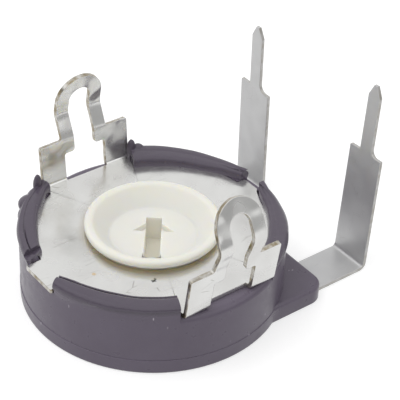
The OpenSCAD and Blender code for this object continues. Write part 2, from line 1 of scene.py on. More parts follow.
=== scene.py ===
"""Open-frame single-turn trimmer, dressed around its frame.

Each sub-assembly is a class that holds its sizes in millimetres, works out its surfaces as numpy
arrays in the frame of the construction model, and dresses them in its finish.
"""
import logging
import math
from collections.abc import Sequence
from dataclasses import dataclass, field
from enum import Enum

import bmesh
import bpy
import numpy as np
from mathutils import Matrix, Vector
from numpy.typing import NDArray


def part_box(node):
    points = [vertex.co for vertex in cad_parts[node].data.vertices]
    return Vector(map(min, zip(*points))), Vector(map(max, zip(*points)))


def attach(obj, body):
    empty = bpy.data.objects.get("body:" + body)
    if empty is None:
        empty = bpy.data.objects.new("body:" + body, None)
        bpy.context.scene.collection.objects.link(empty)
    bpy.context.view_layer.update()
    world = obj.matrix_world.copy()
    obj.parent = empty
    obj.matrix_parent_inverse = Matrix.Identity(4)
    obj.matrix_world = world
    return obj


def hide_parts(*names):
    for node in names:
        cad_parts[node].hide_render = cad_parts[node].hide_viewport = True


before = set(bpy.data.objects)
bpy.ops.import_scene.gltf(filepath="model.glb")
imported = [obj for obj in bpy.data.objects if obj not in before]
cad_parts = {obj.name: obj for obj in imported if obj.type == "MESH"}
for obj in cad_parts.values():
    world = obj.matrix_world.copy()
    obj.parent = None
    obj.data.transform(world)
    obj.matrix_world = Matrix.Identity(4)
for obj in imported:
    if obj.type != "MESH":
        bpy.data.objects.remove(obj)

Array = NDArray[np.float64]
Colour = tuple[float, float, float, float]
Tree = bpy.types.NodeTree
Node = bpy.types.Node
Socket = bpy.types.NodeSocket
Source = Node | Socket
Layer = tuple[Source, str]

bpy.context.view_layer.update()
LOG = logging.getLogger("trimmer")
MM = 0.001
CUT_EDGE = "cut_edge"
WHITE = (1, 1, 1, 1)
# Most values of a noise lie between these two
NOISE_BAND = (0.3, 0.7)
# Keeps X and Y of a place, and drops Z
ACROSS_AXIS = (1, 1, 0)
# Place of the mixed colour among a Mix node's outputs
MIXED = 2
QUAD = 4
TINY = 1e-6


# ---------------------------------------------------------------- finishes


def linear(hex_colour: str) -> Colour:
    """Turn an sRGB hex colour into the linear colour that a shader takes.

    Args:
        hex_colour: Colour such as "#a0b1c2".

    Returns:
        Linear red, green and blue, and an alpha of one.
    """
    srgb = [int(hex_colour[i:i + 2], 16) / 255 for i in (1, 3, 5)]
    red, green, blue = (c / 12.92 if c <= 0.04045 else ((c + 0.055) / 1.055) ** 2.4 for c in srgb)
    return red, green, blue, 1.0


def per_mm(size_mm: float) -> float:
    """Scale of a texture whose cells are size_mm across, on Object coordinates in metres."""
    return 1 / (size_mm * MM)


def feed(tree: Tree, node: Node, links: dict[str | int, Source]) -> None:
    """Link inputs of a node to output sockets, or to the first outputs of other nodes."""
    for key, source in links.items():
        tree.links.new(source if isinstance(source, Socket) else source.outputs[0], node.inputs[key])


def add_node(
    tree: Tree,
    kind: str,
    settings: dict[str | int, object] | None = None,
    links: dict[str | int, Source] | None = None,
) -> Node:
    """Add a node, set its properties and input values, and link its inputs.

    Args:
        tree: Node tree that takes the node.
        kind: Type name of the node, without its "ShaderNode" in front.
        settings: Value of each property, or of each input socket by name or index.
        links: What feeds each input: an output socket, or a node, which stands for its first one.

    Returns:
        The new node.
    """
    node = tree.nodes.new("ShaderNode" + kind)
    for key, value in (settings or {}).items():
        if isinstance(key, str) and hasattr(node, key):
            setattr(node, key, value)
        else:
            node.inputs[key].default_value = value
    feed(tree, node, links or {})
    return node


def emptied(owner: bpy.types.Material | bpy.types.World) -> Tree:
    """Give a material or a world an empty node tree, and return the tree.

    Args:
        owner: Material or world that takes the nodes.

    Returns:
        Its node tree, with nothing in it.
    """
    owner.use_nodes = True
    owner.node_tree.nodes.clear()
    return owner.node_tree


def noise_between(
    tree: Tree,
    place: Socket,
    size_mm: float,
    detail: float,
    band: tuple[float, float],
    values: tuple[float, float] = (0.0, 1.0),
) -> Node:
    """Spread one band of a noise over a range of values, and hold what lies outside the band.

    Args:
        tree: Node tree that takes the nodes.
        place: Object coordinates, in metres.
        size_mm: Size of the noise's clouds.
        detail: Number of finer layers in the noise.
        band: Values of the noise at the band's two ends.
        values: What the band's two ends become.

    Returns:
        The node whose output is the spread value.
    """
    noise = add_node(tree, "TexNoise", {"Scale": per_mm(size_mm), "Detail": detail}, {"Vector": place})
    return add_node(tree, "MapRange", {
        "From Min": band[0], "From Max": band[1], "To Min": values[0], "To Max": values[1],
    }, {"Value": noise})


def layered(tree: Tree, base: str, layers: Sequence[Layer]) -> Socket:
    """Lay colours over a base, one after another.

    Args:
        tree: Node tree that takes the nodes.
        base: Colour at the bottom.
        layers: The share that a colour covers, and the colour, from the lowest up.

    Returns:
        The colour that shows.
    """
    (share, colour), *above = layers
    tone = add_node(tree, "Mix", {
        "data_type": "RGBA", 6: linear(base), 7: linear(colour),
    }, {0: share}).outputs[MIXED]
    for share, colour in above:
        tone = add_node(tree, "Mix", {
            "data_type": "RGBA", 7: linear(colour),
        }, {0: share, 6: tone}).outputs[MIXED]
    return tone


@dataclass(frozen=True)
class Finish:
    """A procedural finish: the constants of one material, and the pattern that varies them."""

    name: str
    colour: str
    roughness: float
    metallic: float = 0.0

    def material(self) -> bpy.types.Material:
        """Build the material, or return the one already built.

        Returns:
            The material.
        """
        made = bpy.data.materials.get(self.name)
        if made:
            return made
        made = bpy.data.materials.new(self.name)
        tree = emptied(made)
        shader = add_node(tree, "BsdfPrincipled", {
            "Base Color": linear(self.colour), "Roughness": self.roughness, "Metallic": self.metallic,
        })
        add_node(tree, "OutputMaterial", None, {"Surface": shader})
        self.pattern(tree, shader, add_node(tree, "TexCoord").outputs["Object"])
        return made

    def pattern(self, tree: Tree, shader: Node, place: Socket) -> None:
        """Vary the finish over the surface.

        Args:
            tree: Node tree of the material.
            shader: Its Principled shader.
            place: Object coordinates, in metres.
        """
        raise NotImplementedError

    def rougher(self, less: float, more: float) -> tuple[float, float]:
        """The finish's roughness, brought down and up by two steps."""
        return self.roughness - less, self.roughness + more


@dataclass(frozen=True)
class PlainGrain(Finish):
    """A finish with one cloudy grain in its tone, roughness and relief."""

    grain_mm: float = 0.15
    depth_mm: float = 0.002
    second: str = "#808080"

    def pattern(self, tree: Tree, shader: Node, place: Socket) -> None:
        """Follow one noise with the colour, the roughness and a bump.

        Args:
            tree: Node tree of the material.
            shader: Its Principled shader.
            place: Object coordinates, in metres.
        """
        grain = add_node(tree, "TexNoise", {
            "Scale": per_mm(self.grain_mm), "Detail": 4.0,
        }, {"Vector": place})
        low, high = self.rougher(0.05, 0.05)
        rough = add_node(tree, "MapRange", {
            "From Min": NOISE_BAND[0], "From Max": NOISE_BAND[1], "To Min": low, "To Max": high,
        }, {"Value": grain})
        bump = add_node(tree, "Bump", {"Distance": self.depth_mm * MM}, {"Height": grain})
        tone = layered(tree, self.colour, [(grain, self.second)])
        feed(tree, shader, {"Base Color": tone, "Roughness": rough, "Normal": bump})


@dataclass(frozen=True)
class MouldedCase(Finish):
    """Filled PBT, injection moulded: a semi-gloss violet grey, softly clouded, with pale scuffs.

    Staking has softened the rim, which leaves it darker, glossier and faintly wrinkled.
    """

    name: str = "moulded_pbt"
    colour: str = "#5a5160"
    roughness: float = 0.32
    cloud: str = "#665e6d"
    cloud_mm: float = 2.2
    scuff: str = "#b5afb9"
    scuff_mm: float = 0.8
    scuff_dot: tuple[float, float] = (0.05, 0.09)
    scuff_stretch: tuple[float, float, float] = (1.0, 1.7, 0.5)
    scuff_turn: tuple[float, float, float] = (0.4, 0.7, 1.1)
    scuff_patch_mm: float = 3.0
    scuff_patches: tuple[float, float] = (0.52, 0.6)
    staked: str = "#453e49"
    staked_from_mm: float = 4.2
    staked_full_mm: float = 4.45
    staked_share: float = 0.6
    staked_gloss: float = 0.2
    wrinkle_mm: float = 0.4
    wrinkle_depth_mm: float = 0.05
    sheen_mm: float = 0.6
    # The mould's own grain is some hundredths of a millimetre, too fine to show, so it is drawn coarser
    grain_mm: float = 0.09
    grain_depth_mm: float = 0.0022

    def scuffs(self, tree: Tree, place: Socket) -> Node:
        """Share of the surface that scuffs cover: drawn-out dots of a cell pattern, in patches.

        Args:
            tree: Node tree of the material.
            place: Object coordinates, in metres.

        Returns:
            The node whose output is the share.
        """
        drawn = add_node(tree, "Mapping", {
            "Scale": self.scuff_stretch, "Rotation": self.scuff_turn,
        }, {"Vector": place})
        cells = add_node(tree, "TexVoronoi", {"Scale": per_mm(self.scuff_mm)}, {"Vector": drawn})
        dots = add_node(tree, "MapRange", {
            "From Min": self.scuff_dot[0], "From Max": self.scuff_dot[1], "To Min": 1.0, "To Max": 0.0,
        }, {"Value": cells})
        return add_node(tree, "Math", {"operation": "MULTIPLY"}, {
            0: dots, 1: noise_between(tree, place, self.scuff_patch_mm, 1.0, self.scuff_patches),
        })

    def pattern(self, tree: Tree, shader: Node, place: Socket) -> None:
        """Cloud the colour, scuff it, darken the staked rim, and give the skin its fine orange peel.

        Args:
            tree: Node tree of the material.
            shader: Its Principled shader.
            place: Object coordinates, in metres.
        """
        cloud = add_node(tree, "TexNoise", {"Scale": per_mm(self.cloud_mm), "Detail": 3.0}, {"Vector": place})
        height = add_node(tree, "SeparateXYZ", None, {0: place}).outputs["Z"]
        melted = add_node(tree, "MapRange", {
            "From Min": self.staked_from_mm * MM, "From Max": self.staked_full_mm * MM,
            "To Max": self.staked_share,
        }, {"Value": height})
        tone = layered(tree, self.colour, [
            (cloud, self.cloud), (self.scuffs(tree, place), self.scuff), (melted, self.staked),
        ])
        satin = noise_between(tree, place, self.sheen_mm, 4.0, NOISE_BAND, self.rougher(0.06, 0.08))
        rough = add_node(tree, "Math", {"operation": "MULTIPLY_ADD", 1: -self.staked_gloss}, {
            0: melted, 2: satin,
        })
        peel = add_node(tree, "TexNoise", {"Scale": per_mm(self.grain_mm), "Detail": 4.0}, {"Vector": place})
        grain = add_node(tree, "Bump", {"Distance": self.grain_depth_mm * MM}, {"Height": peel})
        wrinkles = add_node(tree, "TexNoise", {
            "Scale": per_mm(self.wrinkle_mm), "Detail": 2.0,
        }, {"Vector": place})
        bump = add_node(tree, "Bump", {"Distance": self.wrinkle_depth_mm * MM}, {
            "Height": wrinkles, "Strength": melted, "Normal": grain,
        })
        feed(tree, shader, {"Base Color": tone, "Roughness": rough, "Normal": bump})


@dataclass(frozen=True)
class TinnedSheet(Finish):
    """Tin-plated brass sheet: a soft bright grey with rolling lines, and brass at the sheared edges.

    Folding leaves shallow dents on the parts that stand above the plate.
    """

    name: str = "tinned_brass"
    colour: str = "#e6e6e4"
    roughness: float = 0.22
    metallic: float = 0.92
    stain: str = "#dad9d7"
    stain_band: tuple[float, float] = (0.4, 0.75)
    cloud_mm: float = 2.6
    scratch: str = "#9b9892"
    scratch_web_mm: float = 6.0
    scratch_stretch: tuple[float, float, float] = (1.0, 9.0, 9.0)
    scratch_turn: tuple[float, float, float] = (0.3, 0.2, 0.9)
    scratch_line: float = 0.01
    scratch_share: float = 0.6
    scratch_patch_mm: float = 1.1
    scratch_patches: tuple[float, float] = (0.57, 0.62)
    brass: str = "#94886f"
    smear_mm: float = 0.5
    smear_band: tuple[float, float] = (0.35, 0.65)
    smear_shares: tuple[float, float] = (0.25, 1.0)
    dull_mm: float = 0.9
    # Real rolling lines are some hundredths of a millimetre apart, so they are drawn coarser to show
    line_mm: float = 0.9
    line_stretch: tuple[float, float, float] = (1.0, 10.0, 10.0)
    line_turn: tuple[float, float, float] = (0.0, 0.0, 0.6)
    line_depth_mm: float = 0.0009
    dent_mm: float = 0.0
    dent_wave_mm: float = 1.1
    dents_from_mm: float = 5.0
    dents_full_mm: float = 6.0

    def scratches(self, tree: Tree, place: Socket) -> Node:
        """Share that scratches cover: the thin borders of a drawn-out cell pattern, in patches.

        Args:
            tree: Node tree of the material.
            place: Object coordinates, in metres.

        Returns:
            The node whose output is the share.
        """
        drawn = add_node(tree, "Mapping", {
            "Scale": self.scratch_stretch, "Rotation": self.scratch_turn,
        }, {"Vector": place})
        web = add_node(tree, "TexVoronoi", {
            "feature": "DISTANCE_TO_EDGE", "Scale": per_mm(self.scratch_web_mm),
        }, {"Vector": drawn})
        line = add_node(tree, "MapRange", {
            "From Max": self.scratch_line, "To Min": self.scratch_share, "To Max": 0.0,
        }, {"Value": web})
        return add_node(tree, "Math", {"operation": "MULTIPLY"}, {
            0: line, 1: noise_between(tree, place, self.scratch_patch_mm, 1.0, self.scratch_patches),
        })

    def bare(self, tree: Tree, place: Socket) -> Node:
        """Share of bare brass: the mesh's cut-edge value, smeared with tin here and there."""
        edge = add_node(tree, "Attribute", {"attribute_name": CUT_EDGE}).outputs["Fac"]
        return add_node(tree, "Math", {"operation": "MULTIPLY"}, {
            0: edge, 1: noise_between(tree, place, self.smear_mm, 2.0, self.smear_band, self.smear_shares),
        })

    def relief(self, tree: Tree, place: Socket) -> Node:
        """Bump of the fine rolling lines, and of the dents on the raised parts.

        Args:
            tree: Node tree of the material.
            place: Object coordinates, in metres.

        Returns:
            The bump node.
        """
        rolled = add_node(tree, "Mapping", {
            "Scale": self.line_stretch, "Rotation": self.line_turn,
        }, {"Vector": place})
        lines = add_node(tree, "TexNoise", {
            "Scale": per_mm(self.line_mm), "Detail": 2.0,
        }, {"Vector": rolled})
        fine = add_node(tree, "Bump", {"Distance": self.line_depth_mm * MM}, {"Height": lines})
        height = add_node(tree, "SeparateXYZ", None, {0: place}).outputs["Z"]
        raised = add_node(tree, "MapRange", {
            "From Min": self.dents_from_mm * MM, "From Max": self.dents_full_mm * MM,
        }, {"Value": height})
        waves = add_node(tree, "TexNoise", {
            "Scale": per_mm(self.dent_wave_mm), "Detail": 0.0,
        }, {"Vector": place})
        return add_node(tree, "Bump", {"Distance": self.dent_mm * MM}, {
            "Height": waves, "Strength": raised, "Normal": fine,
        })

    def pattern(self, tree: Tree, shader: Node, place: Socket) -> None:
        """Stain and scratch the tin, draw rolling lines, and bare the brass on the cut edges.

        Args:
            tree: Node tree of the material.
            shader: Its Principled shader.
            place: Object coordinates, in metres.
        """
        stained = noise_between(tree, place, self.cloud_mm, 2.5, self.stain_band)
        tone = layered(tree, self.colour, [
            (stained, self.stain), *self.dirt_and_painted_reflection(tree, place),
            (self.scratches(tree, place), self.scratch), (self.bare(tree, place), self.brass),
        ])
        rough = noise_between(tree, place, self.dull_mm, 1.0, NOISE_BAND, self.rougher(0.05, 0.07))
        feed(tree, shader, {"Base Color": tone, "Roughness": rough, "Normal": self.relief(tree, place)})

    def dirt_and_painted_reflection(self, tree: Tree, place: Socket) -> list[Layer]:
        """Layers of dirt and of painted reflection, of which plain sheet has none."""
        return []


@dataclass(frozen=True)
class MarkedSheet(TinnedSheet):
    """The collector's tinned brass, with specks of dirt and a warm ring round the rotor, which is painted
    reflection and shade of the rotor's underside.
    """

    dent_mm: float = 0.18
    painted_rotor_reflection: str = "#c3b291"
    soot: str = "#3c3b38"
    rust: str = "#d9b36a"
    ragged_mm: float = 0.15

    def dirt_and_painted_reflection(self, tree: Tree, place: Socket) -> list[Layer]:
        """Layers of the painted reflection ring and of the dirt specks, which lie on the tin.

        A spot is strongest within its radius of its centre and fades over the width given for
        it; noise pulls its edge about.

        Args:
            tree: Node tree of the material.
            place: Object coordinates, in metres.

        Returns:
            The share that each mark covers, and its colour.
        """
        flat = add_node(tree, "VectorMath", {"operation": "MULTIPLY", 1: ACROSS_AXIS}, {0: place})
        ragged = add_node(tree, "TexNoise", {
            "Scale": per_mm(self.ragged_mm), "Detail": 2.0,
        }, {"Vector": place})
        # Centre, radius at full strength, width of the fade, pull of the noise, strength and colour
        spots = (
            # The first spot is painted light: a warm ring round the rotor that stands in for the reflection
            # and shade of its underside; the others are dirt and rust
            ((0.0, 0.0), 3.9, 0.75, 0.0, 0.4, self.painted_rotor_reflection),
            ((-2.78, -3.98), 0.07, 0.06, 0.35, 0.95, self.soot),
            ((-2.62, -3.86), 0.03, 0.06, 0.3, 0.9, self.soot),
            ((-5.24, -1.53), 0.06, 0.12, 0.1, 0.6, self.rust),
        )
        layers = []
        for (x, y), radius, fade, pull, strength, colour in spots:
            middle = (x * MM, y * MM, 0)
            far = add_node(tree, "VectorMath", {"operation": "DISTANCE", 1: middle}, {0: flat})
            edge = add_node(tree, "Math", {"operation": "MULTIPLY_ADD", 1: pull * MM}, {
                0: ragged, 2: far.outputs["Value"],
            })
            start = (radius + pull / 2) * MM
            cover = add_node(tree, "MapRange", {
                "interpolation_type": "SMOOTHSTEP", "From Min": start, "From Max": start + fade * MM,
                "To Min": strength, "To Max": 0.0,
            }, {"Value": edge})
            layers.append((cover, colour))
        return layers


@dataclass(frozen=True)
class MouldedRotor(Finish):
    """Natural polyamide, moulded: off-white and satin, with faint turning arcs.

    Light soaks in, and deep in the slot it comes back warm, which a weak glow stands in for.
    """

    name: str = "natural_polyamide"
    colour: str = "#e5e4de"
    roughness: float = 0.4
    cloud: str = "#e0dfd8"
    cloud_mm: float = 1.6
    satin_mm: float = 0.4
    arcs_per_m: float = 700.0
    arc_depth_mm: float = 0.0012
    soak_weight: float = 0.9
    soak_colour: tuple[float, float, float] = (1.0, 0.85, 0.5)
    soak_mm: float = 0.6
    glow: str = "#fff0c8"
    glow_strength: float = 0.075
    glow_from_mm: float = 3.84
    glow_full_mm: float = 2.99
    slot_r_mm: float = 2.0

    def glowing(self, tree: Tree, place: Socket) -> Node:
        """Strength of the glow: rising with the depth in the slot, and none outside its radius.

        Args:
            tree: Node tree of the material.
            place: Object coordinates, in metres.

        Returns:
            The node whose output is the strength.
        """
        level = add_node(tree, "SeparateXYZ", None, {0: place})
        deep = add_node(tree, "MapRange", {
            "From Min": self.glow_full_mm * MM, "From Max": self.glow_from_mm * MM,
            "To Min": self.glow_strength, "To Max": 0.0,
        }, {"Value": level.outputs["Z"]})
        flat = add_node(tree, "VectorMath", {"operation": "MULTIPLY", 1: ACROSS_AXIS}, {0: place})
        far = add_node(tree, "VectorMath", {"operation": "LENGTH"}, {0: flat})
        inside = add_node(tree, "Math", {"operation": "LESS_THAN", 1: self.slot_r_mm * MM}, {
            0: far.outputs["Value"],
        })
        return add_node(tree, "Math", {"operation": "MULTIPLY"}, {0: deep, 1: inside})

    def pattern(self, tree: Tree, shader: Node, place: Socket) -> None:
        """Let light soak in, cloud the colour, and mark the dish with faint turning arcs.

        Args:
            tree: Node tree of the material.
            shader: Its Principled shader.
            place: Object coordinates, in metres.
        """
        for name, value in (
            ("Subsurface Weight", self.soak_weight), ("Subsurface Radius", self.soak_colour),
            ("Subsurface Scale", self.soak_mm * MM), ("Emission Color", linear(self.glow)),
        ):
            shader.inputs[name].default_value = value
        feed(tree, shader, {"Emission Strength": self.glowing(tree, place)})
        cloud = add_node(tree, "TexNoise", {"Scale": per_mm(self.cloud_mm), "Detail": 3.0}, {"Vector": place})
        arcs = add_node(tree, "TexWave", {
            "wave_type": "RINGS", "rings_direction": "Z", "Scale": self.arcs_per_m, "Distortion": 3.0,
            "Detail": 3.0,
        }, {"Vector": place})
        rough = noise_between(tree, place, self.satin_mm, 3.0, NOISE_BAND, self.rougher(0.05, 0.05))
        bump = add_node(tree, "Bump", {"Distance": self.arc_depth_mm * MM}, {"Height": arcs.outputs["Fac"]})
        tone = layered(tree, self.colour, [(cloud, self.cloud)])
        feed(tree, shader, {"Base Color": tone, "Roughness": rough, "Normal": bump})


# ---------------------------------------------------------------- lines and sections


def unit(v: Array) -> Array:
    """Vectors of length one along the last axis."""
    return v / np.maximum(np.linalg.norm(v, axis=-1, keepdims=True), 1e-12)


def circle_points(radius: float, start: float, end: float, count: int) -> Array:
    """Points on a circle about the origin, evenly from one angle to another, in degrees."""
    angle = np.radians(np.linspace(start, end, count))
    return np.stack([radius * np.cos(angle), radius * np.sin(angle)], axis=1)


def rounded_line(
    corners: Sequence[tuple[float, ...]], runs: Sequence[int], arc_steps: int = 5, hold: float = 0.02
) -> Array:
    """Sample an open line with rounded corners.

    An arc of radius r starts r / tan(half the corner's inner angle) before its corner, about a
    centre on the bisector, r / sin(half) away. Each straight run has even steps, and one more
    point close to each end, which keeps its faces flat right up to the arcs.

    Args:
        corners: Points as (x, y, radius); a radius of zero stays sharp, and the ends take none.
        runs: Number of steps in each straight run.
        arc_steps: Number of steps in each arc.
        hold: Distance of the extra points from the ends of a run.

    Returns:
        The points along the line.
    """
    xy = np.array([c[:2] for c in corners], float)
    pieces = [xy[:1]]
    for i in range(1, len(xy)):
        arc = xy[i:i + 1]
        if i < len(xy) - 1 and corners[i][2] > 0:
            radius = corners[i][2]
            back, ahead = unit(xy[i - 1] - xy[i]), unit(xy[i + 1] - xy[i])
            half = math.acos(float(np.clip(back @ ahead, -1, 1))) / 2
            centre = xy[i] + unit(back + ahead) * radius / math.sin(half)
            first = xy[i] + back * radius / math.tan(half) - centre
            last = xy[i] + ahead * radius / math.tan(half) - centre
            sweep = math.atan2(first[0] * last[1] - first[1] * last[0], float(first @ last))
            turn = np.linspace(0, sweep, arc_steps + 1)[:, None]
            arc = centre + first * np.cos(turn) + np.array([-first[1], first[0]]) * np.sin(turn)
        start, end = pieces[-1][-1], arc[0]
        near = min(hold / max(float(np.linalg.norm(end - start)), 1e-9), 0.3 / runs[i - 1])
        even = np.linspace(0, 1, runs[i - 1] + 1)
        share = np.concatenate([[near], even[1:-1], [1 - near]])[:, None]
        pieces += [start + (end - start) * share, arc]
    return np.concatenate(pieces)


def even_line(
    corners: Sequence[tuple[float, ...]], step: float, arc_steps: int = 5, hold: float = 0.02
) -> Array:
    """Sample an open rounded line whose straight runs are divided into steps of about one length.

    Args:
        corners: Points as (x, y, radius), as in rounded_line.
        step: Largest step in a straight run.
        arc_steps: Number of steps in each arc.
        hold: Distance of the extra points from the ends of a run.

    Returns:
        The points along the line.
    """
    xy = np.array([c[:2] for c in corners], float)
    lengths = np.linalg.norm(np.diff(xy, axis=0), axis=1)
    return rounded_line(corners, [max(1, math.ceil(d / step)) for d in lengths], arc_steps, hold)


def closed_line(corners: Sequence[tuple[float, ...]], step: float, arc_steps: int = 5) -> Array:
    """Sample a closed rounded line, from the middle between its last and first corner."""
    middle = tuple((a + b) / 2 for a, b in zip(corners[-1][:2], corners[0][:2]))
    return even_line([middle, *corners, middle], step, arc_steps)[:-1]


def line_normals(points: Array, closed: bool) -> Array:
    """Left-hand unit normals of a line: its tangent by central differences, turned by 90 degrees.

    Args:
        points: Points along the line.
        closed: Whether the last point joins the first.

    Returns:
        One normal per point.
    """
    if closed:
        tangent = np.roll(points, -1, axis=0) - np.roll(points, 1, axis=0)
    else:
        tangent = np.gradient(points, axis=0)
    tangent = unit(tangent)
    return np.stack([-tangent[:, 1], tangent[:, 0]], axis=1)


def periodic(angle: Array, knots: Sequence[tuple[float, float]], soften: float = 3.0) -> Array:
    """A size that varies round a circle.

    Values run straight from knot to knot, and are then averaged over plus and minus soften
    degrees, so that nothing kinks.

    Args:
        angle: Angles in degrees.
        knots: Pairs of an angle and the value there.
        soften: Half the width of the running mean.

    Returns:
        The value at each angle.
    """
    spread = np.linspace(-soften, soften, 7)
    where, value = zip(*sorted(knots))
    return np.interp(angle[:, None] + spread, where, value, period=360).mean(axis=1)


# ---------------------------------------------------------------- surfaces


@dataclass
class Surface:
    """A surface under construction: points in millimetres, faces, and each point's cut-edge value."""

    points: Array
    faces: list[list[int]]
    bare: Array

    @classmethod
    def grid(
        cls,
        points: Array,
        wrap_rows: bool = False,
        wrap_columns: bool = False,
        caps: bool = False,
        bare: Array | None = None,
    ) -> "Surface":
        """Quads over a grid of points.

        Args:
            points: Array of rows by columns by 3.
            wrap_rows: Whether the last row joins the first.
            wrap_columns: Whether the last column joins the first.
            caps: Whether the first and the last row are each closed with one face.
            bare: Cut-edge value of each grid point.

        Returns:
            The surface.
        """
        rows, columns = points.shape[:2]
        index = np.arange(rows * columns).reshape(rows, columns)
        first, last = index[0].tolist(), index[-1].tolist()
        if wrap_rows:
            index = np.concatenate([index, index[:1]])
        if wrap_columns:
            index = np.concatenate([index, index[:, :1]], axis=1)
        quads = np.stack([index[:-1, :-1], index[1:, :-1], index[1:, 1:], index[:-1, 1:]], axis=-1)
        faces = quads.reshape(-1, 4).tolist()
        if caps:
            faces += [first, last[::-1]]
        bare = np.zeros(rows * columns) if bare is None else bare.reshape(-1)
        return cls(points.reshape(-1, 3), faces, bare)

    def joined(self, *others: "Surface") -> "Surface":
        """This surface and others as one.

        Args:
            others: Surfaces to add, each with faces of its own.

        Returns:
            The joined surface.
        """
        whole = Surface(self.points, list(self.faces), self.bare)
        for other in others:
            start = len(whole.points)
            whole.faces += [[i + start for i in face] for face in other.faces]
            whole.points = np.concatenate([whole.points, other.points])
            whole.bare = np.concatenate([whole.bare, other.bare])
        return whole

    def opened(self, at: Array) -> "Surface":
        """This surface without the faces whose corners are all marked in at."""
        return Surface(self.points, [face for face in self.faces if not at[face].all()], self.bare)

    def mesh(self, name: str, crease_deg: float = 35) -> bpy.types.Mesh:
        """Make the mesh, with its cut-edge values as an attribute.

        Args:
            name: Name of the mesh.
            crease_deg: Angle past which an edge stays sharp.

        Returns:
            The mesh, in metres.
        """
        mesh = bpy.data.meshes.new(name)
        mesh.from_pydata((self.points * MM).tolist(), [], self.faces)
        layer = mesh.attributes.new(CUT_EDGE, "FLOAT", "POINT")
        layer.data.foreach_set("value", self.bare.astype(np.float32))
        cleaned(mesh, crease_deg)
        return mesh


def cleaned(mesh: bpy.types.Mesh, crease_deg: float, merge_m: float = 2e-7) -> None:
    """Split many-sided faces, merge doubles, point faces outwards, and smooth all but sharp edges.

    A carved mesh comes closed and facing outwards, and merging would pinch its smallest faces, so
    it keeps its doubles.

    Args:
        mesh: Mesh to clean.
        crease_deg: Angle past which an edge stays sharp.
        merge_m: Distance in metres within which points are merged, or 0 to keep them all.
    """
    bm = bmesh.new()
    bm.from_mesh(mesh)
    bmesh.ops.triangulate(bm, faces=[face for face in bm.faces if len(face.verts) > QUAD])
    if merge_m:
        bmesh.ops.remove_doubles(bm, verts=bm.verts, dist=merge_m)
        bmesh.ops.dissolve_degenerate(bm, edges=bm.edges, dist=merge_m)
        bmesh.ops.recalc_face_normals(bm, faces=bm.faces)
        if bm.calc_volume(signed=True) < 0:
            bmesh.ops.reverse_faces(bm, faces=bm.faces)
    bm.to_mesh(mesh)
    bm.free()
    mesh.shade_smooth()
    mesh.set_sharp_from_angle(angle=math.radians(crease_deg))


def in_scene(name: str, data: bpy.types.ID) -> bpy.types.Object:
    """Put an object with a mesh, lamp or camera into the scene, at the origin.

    Args:
        name: Name of the object.
        data: Its mesh, lamp or camera.

    Returns:
        The object.
    """
    made = bpy.data.objects.new(name, data)
    bpy.context.scene.collection.objects.link(made)
    return made


def placed(mesh: bpy.types.Mesh, finish: Finish) -> bpy.types.Object:
    """Put a finished mesh into the scene as an object at the origin, in its finish.

    Args:
        mesh: Mesh of the piece.
        finish: Finish that covers it all.

    Returns:
        The object.
    """
    mesh.materials.clear()
    mesh.materials.append(finish.material())
    return in_scene(mesh.name, mesh)


class Cut(Enum):
    """What a step does to the body."""

    ADD = "UNION"
    REMOVE = "DIFFERENCE"


def carved(
    name: str, body: Surface, steps: Sequence[tuple[Cut, Surface]], crease_deg: float
) -> bpy.types.Mesh:
    """Add closed surfaces to a closed body, or remove them from it.

    Args:
        name: Name of the mesh.
        body: Closed surface to start from.
        steps: What to do and the surface to do it with, in order.
        crease_deg: Angle past which an edge stays sharp.

    Returns:
        The resulting mesh.
    """
    used = [in_scene(name, body.mesh(name))]
    for number, (cut, tool) in enumerate(steps):
        step = f"step_{number}"
        used.append(in_scene(step, tool.mesh(step)))
        modifier = used[0].modifiers.new(step, "BOOLEAN")
        modifier.operation = cut.value
        modifier.solver = "MANIFOLD"
        modifier.object = used[-1]
    depsgraph = bpy.context.evaluated_depsgraph_get()
    result = bpy.data.meshes.new_from_object(used[0].evaluated_get(depsgraph))
    for item in used:
        data = item.data
        bpy.data.objects.remove(item)
        bpy.data.meshes.remove(data)
    result.name = name
    cleaned(result, crease_deg, merge_m=0)
    return result


def turned(sections: Array, angle: Array) -> Array:
    """Turn sections of (radius, height) about Z: x is r cos a, y is r sin a, and z is the height.

    Args:
        sections: Angles by points by (radius, height).
        angle: Angle of each section, in degrees.

    Returns:
        Angles by points by 3.
    """
    a = np.radians(angle)[:, None]
    r, z = sections[..., 0], sections[..., 1]
    return np.stack([r * np.cos(a), r * np.sin(a), np.broadcast_to(z, r.shape) + 0 * a], axis=-1)


def prism(outline: Array, low: float, high: float) -> Surface:
    """A closed outline carried straight up from one height to another."""
    rows = [np.column_stack([outline, np.full(len(outline), z)]) for z in (low, high)]
    return Surface.grid(np.stack(rows), wrap_columns=True, caps=True)


def box(low: Sequence[float], high: Sequence[float]) -> Surface:
    """A prism on the rectangle between two corners."""
    (x0, y0, z0), (x1, y1, z1) = low, high
    return prism(np.array([(x0, y0), (x1, y0), (x1, y1), (x0, y1)]), z0, z1)


def drum(x: float, y: float, radius: float, low: float, high: float, steps: int = 48) -> Surface:
    """A prism on a circle."""
    return prism(circle_points(radius, 0, 360, steps + 1)[:-1] + (x, y), low, high)


def turned_section(section: Array, a: float, b: float) -> Surface:
    """A closed section of (radius, height) turned about Z from angle a to angle b, in degrees.

    Args:
        section: Points as (radius, height).
        a: First angle.
        b: Last angle.

    Returns:
        The closed surface.
    """
    angle = np.linspace(a, b, max(2, math.ceil(abs(b - a) / 2.5)) + 1)
    sections = np.broadcast_to(section, (len(angle), *section.shape))
    return Surface.grid(turned(sections, angle), wrap_columns=True, caps=True)


def sector(a: float, b: float, r_in: float, r_out: float, low: float, high: float) -> Surface:
    """A rectangular section turned about Z from angle a to angle b, in degrees."""
    return turned_section(np.array([(r_in, low), (r_out, low), (r_out, high), (r_in, high)]), a, b)


